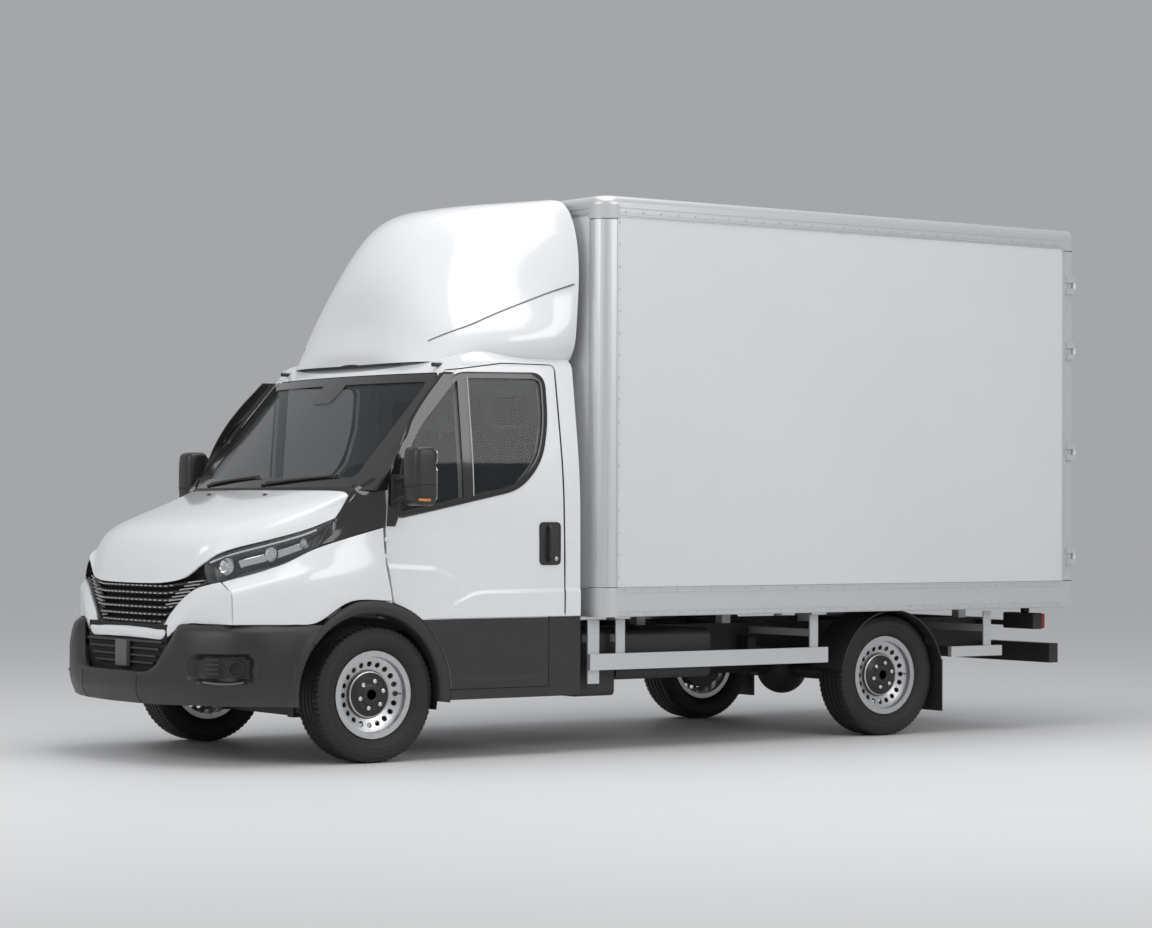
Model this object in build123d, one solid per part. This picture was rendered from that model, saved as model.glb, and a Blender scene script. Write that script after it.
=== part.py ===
from build123d import *
import math
import os

os.makedirs("parts", exist_ok=True)

# Box van with a roof air deflector, in millimetres.
# Construction frame: X across with the vehicle's left side at +X, Y rearwards from the front
# axle, Z up from the ground. On export everything is shifted along Y, so that the origin is
# under the middle of the vehicle's length.

# Running gear
WHEELBASE = 3450
TYRE_RADIUS = 345
TYRE_WIDTH = 225
FRONT_HALF_TRACK = 862
REAR_HALF_TRACK = 845
BEAD_RADIUS = 208
RIM_FLANGE_RADIUS = 222
RIM_WIDTH = 166
RIM_BARREL_RADIUS = 190
RIM_WALL = 5
WHEEL_DISC_INSET = 46
WHEEL_HOLE_COUNT = 20
WHEEL_HOLE_RADIUS = 14
WHEEL_HOLE_CIRCLE = 155
HUB_CAP_RADIUS = 119
HUB_CAP_DEPTH = 30
HUB_RADIUS = 70
KINGPIN_X = 790
KNUCKLE_RADIUS = 38
KNUCKLE_HEIGHT = 160
SPINDLE_RADIUS = 25
BACKING_PLATE_RADIUS = 150
BACKING_PLATE_WALL = 6
SEAT_GAP = 0.3

# Chassis
RAIL_INNER_X = 350
RAIL_WIDTH = 60
RAIL_BOTTOM = 470
RAIL_TOP = 640
RAIL_FRONT = -640
RAIL_OVERHANG = 1250
RAIL_REAR = WHEELBASE + RAIL_OVERHANG
CROSSMEMBER_LENGTH = 80
CROSSMEMBER_HEIGHT = 80
REAR_CROSSMEMBER_LENGTH = 60
TOW_HOLE_RADIUS = 6.5
TOW_HOLE_SPACING_X = 83
TOW_HOLE_SPACING_Z = 56
SHAFT_Z = 365
SHAFT_RADIUS = 38
AXLE_TUBE_RADIUS = 50
DIFF_RADIUS = 150

# Load body
BOX_HALF_WIDTH = 1080
BOX_FRONT = 1326
BOX_OVERHANG = 1337
BOX_REAR = WHEELBASE + BOX_OVERHANG
BOX_BOTTOM = 717
BOX_TOP = 2960
PANEL_WALL = 22
ROOF_WALL = 30
RAIL_DROP = 105
RAIL_DEPTH = 70
RAIL_CORNER = 45
SKIRT_HEIGHT = 156
SKIRT_WALL = 34
POST_RADIUS = 105
POST_WALL = 26
FLOOR_TOP = 860
FLOOR_WALL = 30
BEARER_WIDTH = 60
REAR_POST_WIDTH = 80
REAR_POST_DEPTH = 70
REAR_HEADER_HEIGHT = 110
DOOR_LEAF_WALL = 34
DOOR_GAP = 6
HINGE_OUT = 8
HINGE_BACK = 14
HINGE_PIN_RADIUS = 10
HINGE_LENGTH = 100
LOCK_ROD_RADIUS = 11

# Cab
CAB_HALF_WIDTH = 1003
CAB_REAR = 1247
CAB_FLOOR_BOTTOM = 725
CAB_WALL = 50
SILL_BOTTOM = 307
FIREWALL_Y = -200
SKIN_BREAK = 725
DOOR_BOTTOM = 365
NOSE_WALL = 35
BUMPER_TOP = 706
BUMPER_BOTTOM = 290
ARCH_Y = -50
ARCH_RADIUS = 415
FLARE_RADIUS = 480
FLARE_DEPTH = 50
FLARE_PROUD = 6
SCREEN_CURVE = 3450
GLASS_WALL = 6
DEFLECTOR_WALL = 40

# Lengthwise shift that puts the origin under the middle of the overall length
BUMPER_FRONT = -1000
VEHICLE_REAR = BOX_REAR + HINGE_BACK + HINGE_PIN_RADIUS
MID_Y = (BUMPER_FRONT + VEHICLE_REAR) / 2

BIG = 3000
nodes = {}


def face(points):
    """Flat outline from rows of (a, b, corner radius)."""
    line = FilletPolyline(*[(a, b) for a, b, r in points], radius=[r for a, b, r in points], close=True)
    return make_face(line.edges())


def mirrored(points):
    """Closed symmetric outline from its rows on the +X side."""
    return points + [(-a, b, r) for a, b, r in reversed(points)]


def along_x(shape, x0, x1):
    """Outline drawn in (Y, Z), extruded from x0 to x1."""
    return Pos(x0, 0, 0) * extrude(Plane.YZ * shape, amount=x1 - x0, dir=(1, 0, 0))


def along_y(shape, y0, y1):
    """Outline drawn in (X, Z), extruded from y0 to y1."""
    return Pos(0, y0, 0) * extrude(Plane.XZ * shape, amount=y1 - y0, dir=(0, 1, 0))


def along_z(shape, z0, z1):
    """Outline drawn in (X, Y), extruded from z0 to z1."""
    return Pos(0, 0, z0) * extrude(shape, amount=z1 - z0, dir=(0, 0, 1))


def block(x0, x1, y0, y1, z0, z1):
    """Box between two corners."""
    return Pos((x0 + x1) / 2, (y0 + y1) / 2, (z0 + z1) / 2) * Box(x1 - x0, y1 - y0, z1 - z0)


def rod_x(x0, x1, y, z, radius):
    return Pos((x0 + x1) / 2, y, z) * Rot(0, 90, 0) * Cylinder(radius, x1 - x0)


def rod_y(x, y0, y1, z, radius):
    return Pos(x, (y0 + y1) / 2, z) * Rot(90, 0, 0) * Cylinder(radius, y1 - y0)


def rod_z(x, y, z0, z1, radius):
    return Pos(x, y, (z0 + z1) / 2) * Cylinder(radius, z1 - z0)


def grown(shape, amount):
    """Outline moved outwards, or inwards for a negative amount."""
    return offset(shape, amount=amount, kind=Kind.INTERSECTION)


def other_side(shape):
    return mirror(shape, about=Plane.YZ)


def keep(name, *shapes):
    """Store the solids of a node."""
    solids = []
    for shape in shapes:
        solids.extend(shape.solids())
    nodes[name] = solids


def keep_pair(name, shape):
    keep(name, shape, other_side(shape))


def keep_left_right(name, shape):
    keep(name + "_left", shape)
    keep(name + "_right", other_side(shape))


# Wheels: tyre, and steel rim with its disc, holes and hub cap, drawn as sections through the
# axle with the outer side at +X
def tyre():
    half = TYRE_WIDTH / 2
    bead = RIM_WIDTH / 2 - 2 * RIM_WALL - 1
    section = [
        (-bead, BEAD_RADIUS, 0),
        (-bead, RIM_FLANGE_RADIUS + 2, 0),
        (-half, 262, 30),
        (-half, 300, 30),
        (-half + 14, TYRE_RADIUS, 22),
        (half - 14, TYRE_RADIUS, 22),
        (half, 300, 30),
        (half, 262, 30),
        (bead, RIM_FLANGE_RADIUS + 2, 0),
        (bead, BEAD_RADIUS, 0),
    ]
    return revolve(Plane.XZ * face(section), axis=Axis.X, revolution_arc=360)


def rim(spindle_end):
    """Rim whose hub reaches in to the end of its spindle."""
    half = RIM_WIDTH / 2
    disc_x = half - WHEEL_DISC_INSET
    well = RIM_BARREL_RADIUS
    barrel = [
        (-half, BEAD_RADIUS - 14, 0),
        (-half, RIM_FLANGE_RADIUS, 2),
        (-half + RIM_WALL, RIM_FLANGE_RADIUS, 2),
        (-half + 2 * RIM_WALL, BEAD_RADIUS, 0),
        (half - 2 * RIM_WALL, BEAD_RADIUS, 0),
        (half - RIM_WALL, RIM_FLANGE_RADIUS, 2),
        (half, RIM_FLANGE_RADIUS, 2),
        (half, BEAD_RADIUS - 14, 0),
        (half - 24, well, 8),
        (-half + 24, well, 8),
    ]
    disc = [
        (disc_x - 30, well + 4, 0),
        (disc_x + 18, well + 4, 0),
        (disc_x + 14, WHEEL_HOLE_CIRCLE + 22, 4),
        (disc_x - 6, HUB_CAP_RADIUS + 4, 4),
        (disc_x - 6, 0, 0),
        (disc_x - 16, 0, 0),
        (disc_x - 16, HUB_CAP_RADIUS, 4),
        (disc_x + 2, WHEEL_HOLE_CIRCLE + 24, 4),
    ]
    cap = [
        (disc_x - 6, 0, 0),
        (disc_x - 6, HUB_CAP_RADIUS, 0),
        (disc_x + 6, HUB_CAP_RADIUS, 5),
        (disc_x + HUB_CAP_DEPTH - 12, HUB_CAP_RADIUS - 34, 6),
        (disc_x + HUB_CAP_DEPTH, 34, 4),
        (disc_x + HUB_CAP_DEPTH, 0, 0),
    ]
    shape = revolve(Plane.XZ * face(barrel), axis=Axis.X, revolution_arc=360)
    shape += revolve(Plane.XZ * face(disc), axis=Axis.X, revolution_arc=360)
    for i in range(WHEEL_HOLE_COUNT):
        angle = 2 * math.pi * i / WHEEL_HOLE_COUNT
        y = WHEEL_HOLE_CIRCLE * math.cos(angle)
        z = WHEEL_HOLE_CIRCLE * math.sin(angle)
        shape -= rod_x(disc_x - 40, disc_x + 40, y, z, WHEEL_HOLE_RADIUS)
    shape += revolve(Plane.XZ * face(cap), axis=Axis.X, revolution_arc=360)
    shape += rod_x(spindle_end, disc_x - 10, 0, 0, HUB_RADIUS)
    return shape


HUB_INSET = 10
wheel_places = [
    # name, axle Y, half track
    ("front", 0, FRONT_HALF_TRACK),
    ("rear", WHEELBASE, REAR_HALF_TRACK),
]
TYRE = tyre()
RIM = rim(-HUB_INSET / 2)
for name, axle_y, half_track in wheel_places:
    place = Pos(half_track, axle_y, TYRE_RADIUS)
    keep_left_right("tyre_" + name, place * TYRE)
    keep_left_right("rim_" + name, place * RIM)

# Knuckles turn on the kingpin between the suspension arms' bosses
KNUCKLE_BOTTOM = TYRE_RADIUS - KNUCKLE_HEIGHT / 2
KNUCKLE_TOP = TYRE_RADIUS + KNUCKLE_HEIGHT / 2
SPINDLE_END = FRONT_HALF_TRACK - HUB_INSET / 2 - SEAT_GAP
PLATE_X = KINGPIN_X + KNUCKLE_RADIUS + 2
knuckle = rod_z(KINGPIN_X, 0, KNUCKLE_BOTTOM, KNUCKLE_TOP, KNUCKLE_RADIUS)
knuckle += rod_x(KINGPIN_X, SPINDLE_END, 0, TYRE_RADIUS, SPINDLE_RADIUS)
knuckle += rod_x(PLATE_X, PLATE_X + BACKING_PLATE_WALL, 0, TYRE_RADIUS, BACKING_PLATE_RADIUS)
knuckle += rod_x(KINGPIN_X, PLATE_X + 2, 0, TYRE_RADIUS, KNUCKLE_RADIUS)
knuckle += block(PLATE_X, SPINDLE_END + 13, 95, 140, TYRE_RADIUS - 50, TYRE_RADIUS + 50)
keep_left_right("knuckle", knuckle)

# Front suspension: crossmember, towers and arms as one welded unit
ARM_WALL = 30
BOSS_RADIUS = 34
BOSS_HEIGHT = 40
RAIL_OUTER_X = RAIL_INNER_X + RAIL_WIDTH
arm_plan = [
    (RAIL_OUTER_X - 20, -150, 0),
    (KINGPIN_X - 30, -28, 0),
    (KINGPIN_X - 30, 28, 0),
    (RAIL_OUTER_X - 20, 150, 0),
    (RAIL_OUTER_X - 20, 80, 20),
    (KINGPIN_X - 170, 0, 12),
    (RAIL_OUTER_X - 20, -80, 20),
]
suspension = block(-RAIL_OUTER_X, RAIL_OUTER_X, -90, 90, 205, 285)
for side in (1, -1):
    for boss_bottom in (KNUCKLE_BOTTOM - SEAT_GAP - BOSS_HEIGHT, KNUCKLE_TOP + SEAT_GAP):
        boss = rod_z(KINGPIN_X, 0, boss_bottom, boss_bottom + BOSS_HEIGHT, BOSS_RADIUS)
        arm_bottom = boss_bottom + (BOSS_HEIGHT - ARM_WALL) / 2
        arm = boss + block(KINGPIN_X - 60, KINGPIN_X - 10, -28, 28, arm_bottom, arm_bottom + ARM_WALL)
        arm += along_z(face(arm_plan), arm_bottom, arm_bottom + ARM_WALL)
        suspension += arm if side > 0 else other_side(arm)
    x0, x1 = sorted((side * RAIL_INNER_X, side * RAIL_OUTER_X))
    suspension += block(x0, x1, -155, 155, 205, RAIL_BOTTOM)
keep("front_suspension", suspension)

# Chassis rails and crossmembers
rail = block(RAIL_INNER_X, RAIL_OUTER_X, RAIL_FRONT, RAIL_REAR, RAIL_BOTTOM, RAIL_TOP)
keep_pair("chassis_rails", rail)
crossmember_places = [RAIL_FRONT + 20, 760, 1500, WHEELBASE - 1100, WHEELBASE - 450, WHEELBASE + 500]
crossmembers = []
for y in crossmember_places:
    z0 = RAIL_TOP - CROSSMEMBER_HEIGHT
    crossmembers.append(block(-RAIL_INNER_X, RAIL_INNER_X, y, y + CROSSMEMBER_LENGTH, z0, RAIL_TOP))
TOW_Z = (RAIL_BOTTOM + RAIL_TOP) / 2
rear_crossmember = block(
    -RAIL_INNER_X, RAIL_INNER_X, RAIL_REAR - REAR_CROSSMEMBER_LENGTH, RAIL_REAR, RAIL_BOTTOM, RAIL_TOP
)
for dx in (-1, 1):
    for dz in (-1, 1):
        rear_crossmember -= rod_y(
            dx * TOW_HOLE_SPACING_X / 2,
            RAIL_REAR - REAR_CROSSMEMBER_LENGTH - 10,
            RAIL_REAR + 10,
            TOW_Z + dz * TOW_HOLE_SPACING_Z / 2,
            TOW_HOLE_RADIUS,
        )
keep("chassis_crossmembers", *crossmembers, rear_crossmember)

# Engine and gearbox as one plain block on its mounts, and the shaft behind it
GEARBOX_REAR = 720
engine = block(-240, 240, -530, FIREWALL_Y - 5, 400, 1060)
engine += block(-240, 240, FIREWALL_Y - 5, 150, 400, CAB_FLOOR_BOTTOM - 5)
engine += block(-170, 170, 150, GEARBOX_REAR, 310, CAB_FLOOR_BOTTOM - 5)
engine += block(-RAIL_INNER_X, RAIL_INNER_X, -200, -120, 520, 600)
keep("engine_block", engine)
DIFF_NOSE = WHEELBASE - DIFF_RADIUS - 60
keep("propshaft", rod_y(0, GEARBOX_REAR, DIFF_NOSE, SHAFT_Z, SHAFT_RADIUS))

# Rear axle with its differential and brakes, on leaf springs
AXLE_END = REAR_HALF_TRACK - HUB_INSET / 2 - SEAT_GAP
rear_axle = rod_x(-AXLE_END, AXLE_END, WHEELBASE, TYRE_RADIUS, AXLE_TUBE_RADIUS)
rear_axle += Pos(0, WHEELBASE, TYRE_RADIUS) * Sphere(DIFF_RADIUS)
rear_axle += rod_y(0, DIFF_NOSE, WHEELBASE, SHAFT_Z, 60)
for side in (1, -1):
    x0, x1 = sorted((side * (AXLE_END - 70), side * (AXLE_END - 20)))
    rear_axle += rod_x(x0, x1, WHEELBASE, TYRE_RADIUS, BACKING_PLATE_RADIUS)
keep("rear_axle", rear_axle)
SPRING_REACH = 640
SPRING_WALL = 34
SPRING_X = RAIL_OUTER_X + 30
SPRING_WIDTH = 70
spring_base = TYRE_RADIUS + AXLE_TUBE_RADIUS
spring_side = [
    (WHEELBASE - SPRING_REACH, RAIL_BOTTOM + 10, 0),
    (WHEELBASE - 90, spring_base, 400),
    (WHEELBASE + 90, spring_base, 400),
    (WHEELBASE + SPRING_REACH, RAIL_BOTTOM + 10, 0),
    (WHEELBASE + SPRING_REACH, RAIL_BOTTOM + 10 + SPRING_WALL, 0),
    (WHEELBASE + 90, spring_base + SPRING_WALL, 400),
    (WHEELBASE - 90, spring_base + SPRING_WALL, 400),
    (WHEELBASE - SPRING_REACH, RAIL_BOTTOM + 10 + SPRING_WALL, 0),
]
spring = along_x(face(spring_side), SPRING_X, SPRING_X + SPRING_WIDTH)
for y in (WHEELBASE - SPRING_REACH, WHEELBASE + SPRING_REACH):
    spring += block(RAIL_OUTER_X, SPRING_X + SPRING_WIDTH, y - 30, y + 30, RAIL_BOTTOM, RAIL_BOTTOM + 90)
keep_pair("leaf_springs", spring)

# Exhaust on the right side, tanks on the left
SILENCER_X = -560
EXHAUST_X = -300
EXHAUST_Z = 430
PIPE_RADIUS = 32
SILENCER_RADIUS = 92
SILENCER_LENGTH = 700
SILENCER_FRONT = WHEELBASE - 1790
SILENCER_REAR = SILENCER_FRONT + SILENCER_LENGTH
EXHAUST_CROSSING = SILENCER_FRONT - 70
TAIL_PIPE_Y = WHEELBASE - 750
TAIL_PIPE_END = -940
PIPE_START = -240
PIPE_FRONT = 100
exhaust = rod_y(SILENCER_X, SILENCER_FRONT, SILENCER_REAR, EXHAUST_Z, SILENCER_RADIUS)
pipe_runs = [
    # start and end of each straight run, in X and Y
    (PIPE_START, PIPE_FRONT, EXHAUST_X, PIPE_FRONT),
    (EXHAUST_X, PIPE_FRONT, EXHAUST_X, EXHAUST_CROSSING),
    (EXHAUST_X, EXHAUST_CROSSING, SILENCER_X, EXHAUST_CROSSING),
    (SILENCER_X, EXHAUST_CROSSING, SILENCER_X, SILENCER_FRONT + 10),
    (SILENCER_X, SILENCER_REAR - 10, SILENCER_X, TAIL_PIPE_Y),
    (SILENCER_X, TAIL_PIPE_Y, TAIL_PIPE_END, TAIL_PIPE_Y),
]
for xa, ya, xb, yb in pipe_runs:
    if xa == xb:
        exhaust += rod_y(xa, ya, yb, EXHAUST_Z, PIPE_RADIUS)
    else:
        exhaust += rod_x(min(xa, xb), max(xa, xb), ya, EXHAUST_Z, PIPE_RADIUS)
    if xa != PIPE_START:
        exhaust += Pos(xa, ya, EXHAUST_Z) * Sphere(PIPE_RADIUS)
for y in (SILENCER_FRONT + 90, SILENCER_REAR - 100):
    exhaust += block(SILENCER_X - 10, -RAIL_OUTER_X, y - 15, y + 15, RAIL_BOTTOM + 30, RAIL_BOTTOM + 50)
keep("exhaust", exhaust)
TANK_OUTER_X = 900
fuel_tank = block(RAIL_OUTER_X, TANK_OUTER_X, 1560, WHEELBASE - 1250, 371, RAIL_TOP)
fuel_tank = fillet(fuel_tank.edges().filter_by(Axis.Y), 45)
step_tank = block(RAIL_OUTER_X, TANK_OUTER_X, 1300, 1545, 289, RAIL_TOP)
step_tank = fillet(step_tank.edges().filter_by(Axis.Y), 30)
keep("side_tanks", fuel_tank, step_tank, other_side(step_tank))

# Load body floor on its bearers
wall_x = BOX_HALF_WIDTH - SKIRT_WALL
BEARER_COUNT = 6
FIRST_BEARER = BOX_FRONT + POST_RADIUS + 20
LAST_BEARER = BOX_REAR - 286
BEARER_PITCH = (LAST_BEARER - FIRST_BEARER) / (BEARER_COUNT - 1)
bearer_places = [FIRST_BEARER + i * BEARER_PITCH for i in range(BEARER_COUNT)]
floor_bottom = FLOOR_TOP - FLOOR_WALL
BEARER_BOTTOM = 735


def bearer(y):
    """Floor bearer across the body, with a foot on each chassis rail."""
    shape = block(-wall_x, wall_x, y, y + BEARER_WIDTH, BEARER_BOTTOM, floor_bottom)
    foot = block(RAIL_INNER_X, RAIL_OUTER_X, y, y + BEARER_WIDTH, RAIL_TOP, BEARER_BOTTOM)
    return shape + foot + other_side(foot)


keep(
    "floor_bearers",
    *[bearer(y) for y in bearer_places],
)
rear_frame_front = BOX_REAR - REAR_POST_DEPTH
front_wall_rear = BOX_FRONT + PANEL_WALL
post_back = BOX_FRONT + POST_RADIUS
post_inner = BOX_HALF_WIDTH - POST_RADIUS
floor = block(-wall_x, wall_x, post_back, rear_frame_front, floor_bottom, FLOOR_TOP)
floor += block(-post_inner, post_inner, front_wall_rear, post_back, floor_bottom, FLOOR_TOP)
keep("box_floor", floor)

# Front corner posts: quarter rounds from the floor to the roof, with the roof corner on top
post_plan = [
    (post_inner, BOX_FRONT, 0),
    (BOX_HALF_WIDTH, BOX_FRONT, POST_RADIUS - 5),
    (BOX_HALF_WIDTH, post_back, 0),
    (BOX_HALF_WIDTH - POST_WALL, post_back, 0),
    (BOX_HALF_WIDTH - POST_WALL, BOX_FRONT + POST_WALL, POST_RADIUS - 5 - POST_WALL),
    (post_inner, BOX_FRONT + POST_WALL, 0),
]
post = along_z(face(post_plan), BOX_BOTTOM, BOX_TOP - RAIL_DROP)
corner_plan = [
    (post_inner, BOX_FRONT, 0),
    (BOX_HALF_WIDTH, BOX_FRONT, POST_RADIUS - 5),
    (BOX_HALF_WIDTH, post_back, 0),
    (post_inner, post_back, 0),
]
corner = along_z(face(corner_plan), BOX_TOP - RAIL_DROP, BOX_TOP)
corner_top = corner.faces().sort_by(Axis.Z)[-1]
round_edges = [e for e in corner_top.edges() if e.center().X > post_inner + 1 and e.center().Y < post_back - 1]
corner = fillet(round_edges, RAIL_CORNER)
keep_pair("box_front_posts", post + corner)

# Rails round the roof and the skirt
rail_section = [
    (BOX_HALF_WIDTH, BOX_TOP - RAIL_DROP, 0),
    (BOX_HALF_WIDTH, BOX_TOP, RAIL_CORNER),
    (BOX_HALF_WIDTH - RAIL_DEPTH, BOX_TOP, 0),
    (BOX_HALF_WIDTH - RAIL_DEPTH, BOX_TOP - ROOF_WALL, 0),
    (BOX_HALF_WIDTH - PANEL_WALL - 4, BOX_TOP - RAIL_DROP, 0),
]
roof_rail = along_y(face(rail_section), post_back, rear_frame_front)
front_section = [
    (BOX_FRONT, BOX_TOP - RAIL_DROP, 0),
    (BOX_FRONT, BOX_TOP, RAIL_CORNER),
    (BOX_FRONT + RAIL_DEPTH, BOX_TOP, 0),
    (BOX_FRONT + RAIL_DEPTH, BOX_TOP - ROOF_WALL, 0),
    (BOX_FRONT + PANEL_WALL + 4, BOX_TOP - RAIL_DROP, 0),
]
front_rail = along_x(face(front_section), -post_inner, post_inner)
skirt_section = [
    (BOX_HALF_WIDTH, BOX_BOTTOM, 8),
    (BOX_HALF_WIDTH, BOX_BOTTOM + SKIRT_HEIGHT, 0),
    (BOX_HALF_WIDTH - PANEL_WALL, BOX_BOTTOM + SKIRT_HEIGHT, 0),
    (BOX_HALF_WIDTH - SKIRT_WALL, FLOOR_TOP, 0),
    (BOX_HALF_WIDTH - SKIRT_WALL, BOX_BOTTOM, 0),
]
skirt = along_y(face(skirt_section), post_back, rear_frame_front)
front_skirt = block(-post_inner, post_inner, BOX_FRONT, front_wall_rear, BOX_BOTTOM, BOX_BOTTOM + SKIRT_HEIGHT)
keep("box_rails", roof_rail, other_side(roof_rail), front_rail, skirt, other_side(skirt), front_skirt)

# Panels between the profiles
panel_bottom = BOX_BOTTOM + SKIRT_HEIGHT
panel_top = BOX_TOP - RAIL_DROP
side_panel = block(
    BOX_HALF_WIDTH - PANEL_WALL, BOX_HALF_WIDTH - 2, post_back, rear_frame_front, panel_bottom, panel_top
)
keep_pair("box_side_panels", side_panel)
keep("box_front_wall", block(-post_inner, post_inner, BOX_FRONT + 2, front_wall_rear, panel_bottom, panel_top))
roof_x = BOX_HALF_WIDTH - RAIL_DEPTH
keep(
    "box_roof",
    block(-post_inner, post_inner, BOX_FRONT + RAIL_DEPTH, post_back, BOX_TOP - ROOF_WALL, BOX_TOP - 4)
    + block(-roof_x, roof_x, post_back, rear_frame_front, BOX_TOP - ROOF_WALL, BOX_TOP - 4),
)

# Rear frame: two posts with the roof corners, a header and a sill, with the door opening between
rear_post = block(
    BOX_HALF_WIDTH - REAR_POST_WIDTH, BOX_HALF_WIDTH, rear_frame_front, BOX_REAR, BOX_BOTTOM, BOX_TOP
)
rear_post = fillet(rear_post.edges().filter_by(Axis.Y).sort_by(Axis.Z)[-2:].sort_by(Axis.X)[-1], RAIL_CORNER)
opening_x = BOX_HALF_WIDTH - REAR_POST_WIDTH
header_x = opening_x - SEAT_GAP
rear_header = block(-header_x, header_x, rear_frame_front, BOX_REAR, BOX_TOP - REAR_HEADER_HEIGHT, BOX_TOP)
rear_sill = block(-header_x, header_x, rear_frame_front, BOX_REAR, BOX_BOTTOM, FLOOR_TOP)
HINGE_X = BOX_HALF_WIDTH + HINGE_OUT
HINGE_Y = BOX_REAR + HINGE_BACK
KNUCKLE_THIRD = HINGE_LENGTH / 3
leaf_bottom = FLOOR_TOP + DOOR_GAP
leaf_top = BOX_TOP - REAR_HEADER_HEIGHT - DOOR_GAP
LOWEST_HINGE = leaf_bottom + 154
HIGHEST_HINGE = leaf_top - 214
hinge_places = [LOWEST_HINGE, LOWEST_HINGE + 620, HIGHEST_HINGE - 390, HIGHEST_HINGE]


def knuckle_piece(z, first, last):
    """Part of a hinge knuckle, as thirds of its length counted from the bottom."""
    z0 = z - HINGE_LENGTH / 2
    return rod_z(HINGE_X, HINGE_Y, z0 + first * KNUCKLE_THIRD, z0 + last * KNUCKLE_THIRD, HINGE_PIN_RADIUS)


for z in hinge_places:
    for first in (0, 2):
        z0 = z - HINGE_LENGTH / 2 + first * KNUCKLE_THIRD
        rear_post += knuckle_piece(z, first, first + 1)
        rear_post += block(
            BOX_HALF_WIDTH - 5, HINGE_X + HINGE_PIN_RADIUS, BOX_REAR - 50, HINGE_Y, z0, z0 + KNUCKLE_THIRD
        ) - block(BOX_HALF_WIDTH - 6, HINGE_X - 1, BOX_REAR, HINGE_Y + 1, z0, z0 + KNUCKLE_THIRD)
keep("rear_frame", rear_post, other_side(rear_post), rear_header, rear_sill)

# Rear doors: each leaf lies in the frame, with its lock rod and hinge straps on the outside
leaf_rear = BOX_REAR - 4
leaf_front = leaf_rear - DOOR_LEAF_WALL
leaf = block(DOOR_GAP / 2, opening_x - 14, leaf_front, leaf_rear, leaf_bottom, leaf_top)
for z in hinge_places:
    z0 = z - HINGE_LENGTH / 2 + KNUCKLE_THIRD + SEAT_GAP
    z1 = z - HINGE_LENGTH / 2 + 2 * KNUCKLE_THIRD - SEAT_GAP
    leaf += rod_z(HINGE_X, HINGE_Y, z0, z1, HINGE_PIN_RADIUS)
    leaf += block(opening_x - 180, HINGE_X, HINGE_Y - 8, HINGE_Y, z0, z1)
    leaf += block(opening_x - 180, opening_x - 14, leaf_rear, HINGE_Y - 8, z0, z1)
lock_x = opening_x - 330
leaf += rod_z(lock_x, leaf_rear + 12, leaf_bottom + 40, leaf_top - 40, LOCK_ROD_RADIUS)
for z in (leaf_bottom + 60, 1300, 1900, leaf_top - 60):
    leaf += block(lock_x - 30, lock_x + 30, leaf_rear, leaf_rear + 12, z - 20, z + 20)
leaf += block(lock_x - 200, lock_x, leaf_rear + 8, leaf_rear + 18, 1330, 1356)
keep_left_right("rear_door", leaf)

# Side guards, mudguards, underrun bar and tail lamps
GUARD_X = BOX_HALF_WIDTH - 80
GUARD_WALL = 30
GUARD_BOTTOM = 434
GUARD_TOP = 520
GUARD_POST_TOP = 700
GUARD_FRONT = BOX_FRONT - 12
GUARD_REAR = WHEELBASE - 486
guard = block(GUARD_X - GUARD_WALL, GUARD_X, GUARD_FRONT, GUARD_REAR, GUARD_BOTTOM, GUARD_TOP)
guard_posts = [
    # front edge, width, lower end, inner end of the bracket
    (GUARD_FRONT + 6, 75, 401, TANK_OUTER_X),
    (GUARD_FRONT + 191, 60, GUARD_TOP, TANK_OUTER_X),
    (GUARD_REAR - 109, 60, GUARD_TOP, RAIL_OUTER_X),
]
for y, width, lower, inner in guard_posts:
    guard += block(GUARD_X - GUARD_WALL - 8, GUARD_X - GUARD_WALL, y, y + width, lower - 40, GUARD_POST_TOP)
    guard += block(inner, GUARD_X - GUARD_WALL, y + 10, y + 40, RAIL_TOP - 60, RAIL_TOP - 20)
REAR_GUARD_FRONT = WHEELBASE + 450
REAR_GUARD_LENGTH = 400
REAR_GUARD_POST = REAR_GUARD_FRONT + 280
guard_inner_x = GUARD_X - GUARD_WALL
rear_guard = block(guard_inner_x, GUARD_X, REAR_GUARD_FRONT, REAR_GUARD_FRONT + REAR_GUARD_LENGTH, 440, 500)
rear_guard += block(
    guard_inner_x - 8, guard_inner_x, REAR_GUARD_POST, REAR_GUARD_POST + 60, 440, GUARD_POST_TOP
)
rear_guard += block(
    RAIL_OUTER_X, guard_inner_x, REAR_GUARD_POST + 10, REAR_GUARD_POST + 40, RAIL_TOP - 60, RAIL_TOP - 20
)
keep("side_guards", guard, other_side(guard), rear_guard, other_side(rear_guard))

GUARD_INNER_X = 730
MUDGUARD_RADIUS = 385
MUDGUARD_WALL = 8
mudguard = rod_x(GUARD_INNER_X, GUARD_X, WHEELBASE, TYRE_RADIUS - 10, MUDGUARD_RADIUS)
mudguard -= rod_x(GUARD_INNER_X - 1, GUARD_X + 1, WHEELBASE, TYRE_RADIUS - 10, MUDGUARD_RADIUS - MUDGUARD_WALL)
mudguard &= block(0, BIG, WHEELBASE - 500, WHEELBASE + 500, 390, 1000)
flap_y = WHEELBASE + MUDGUARD_RADIUS - 12
mudguard += block(GUARD_INNER_X, GUARD_X, flap_y, flap_y + 8, 130, 430)
mudguard += block(RAIL_OUTER_X, GUARD_X - 60, WHEELBASE + 303, WHEELBASE + 333, 520, 550)
keep_pair("mudguards", mudguard)

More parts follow.
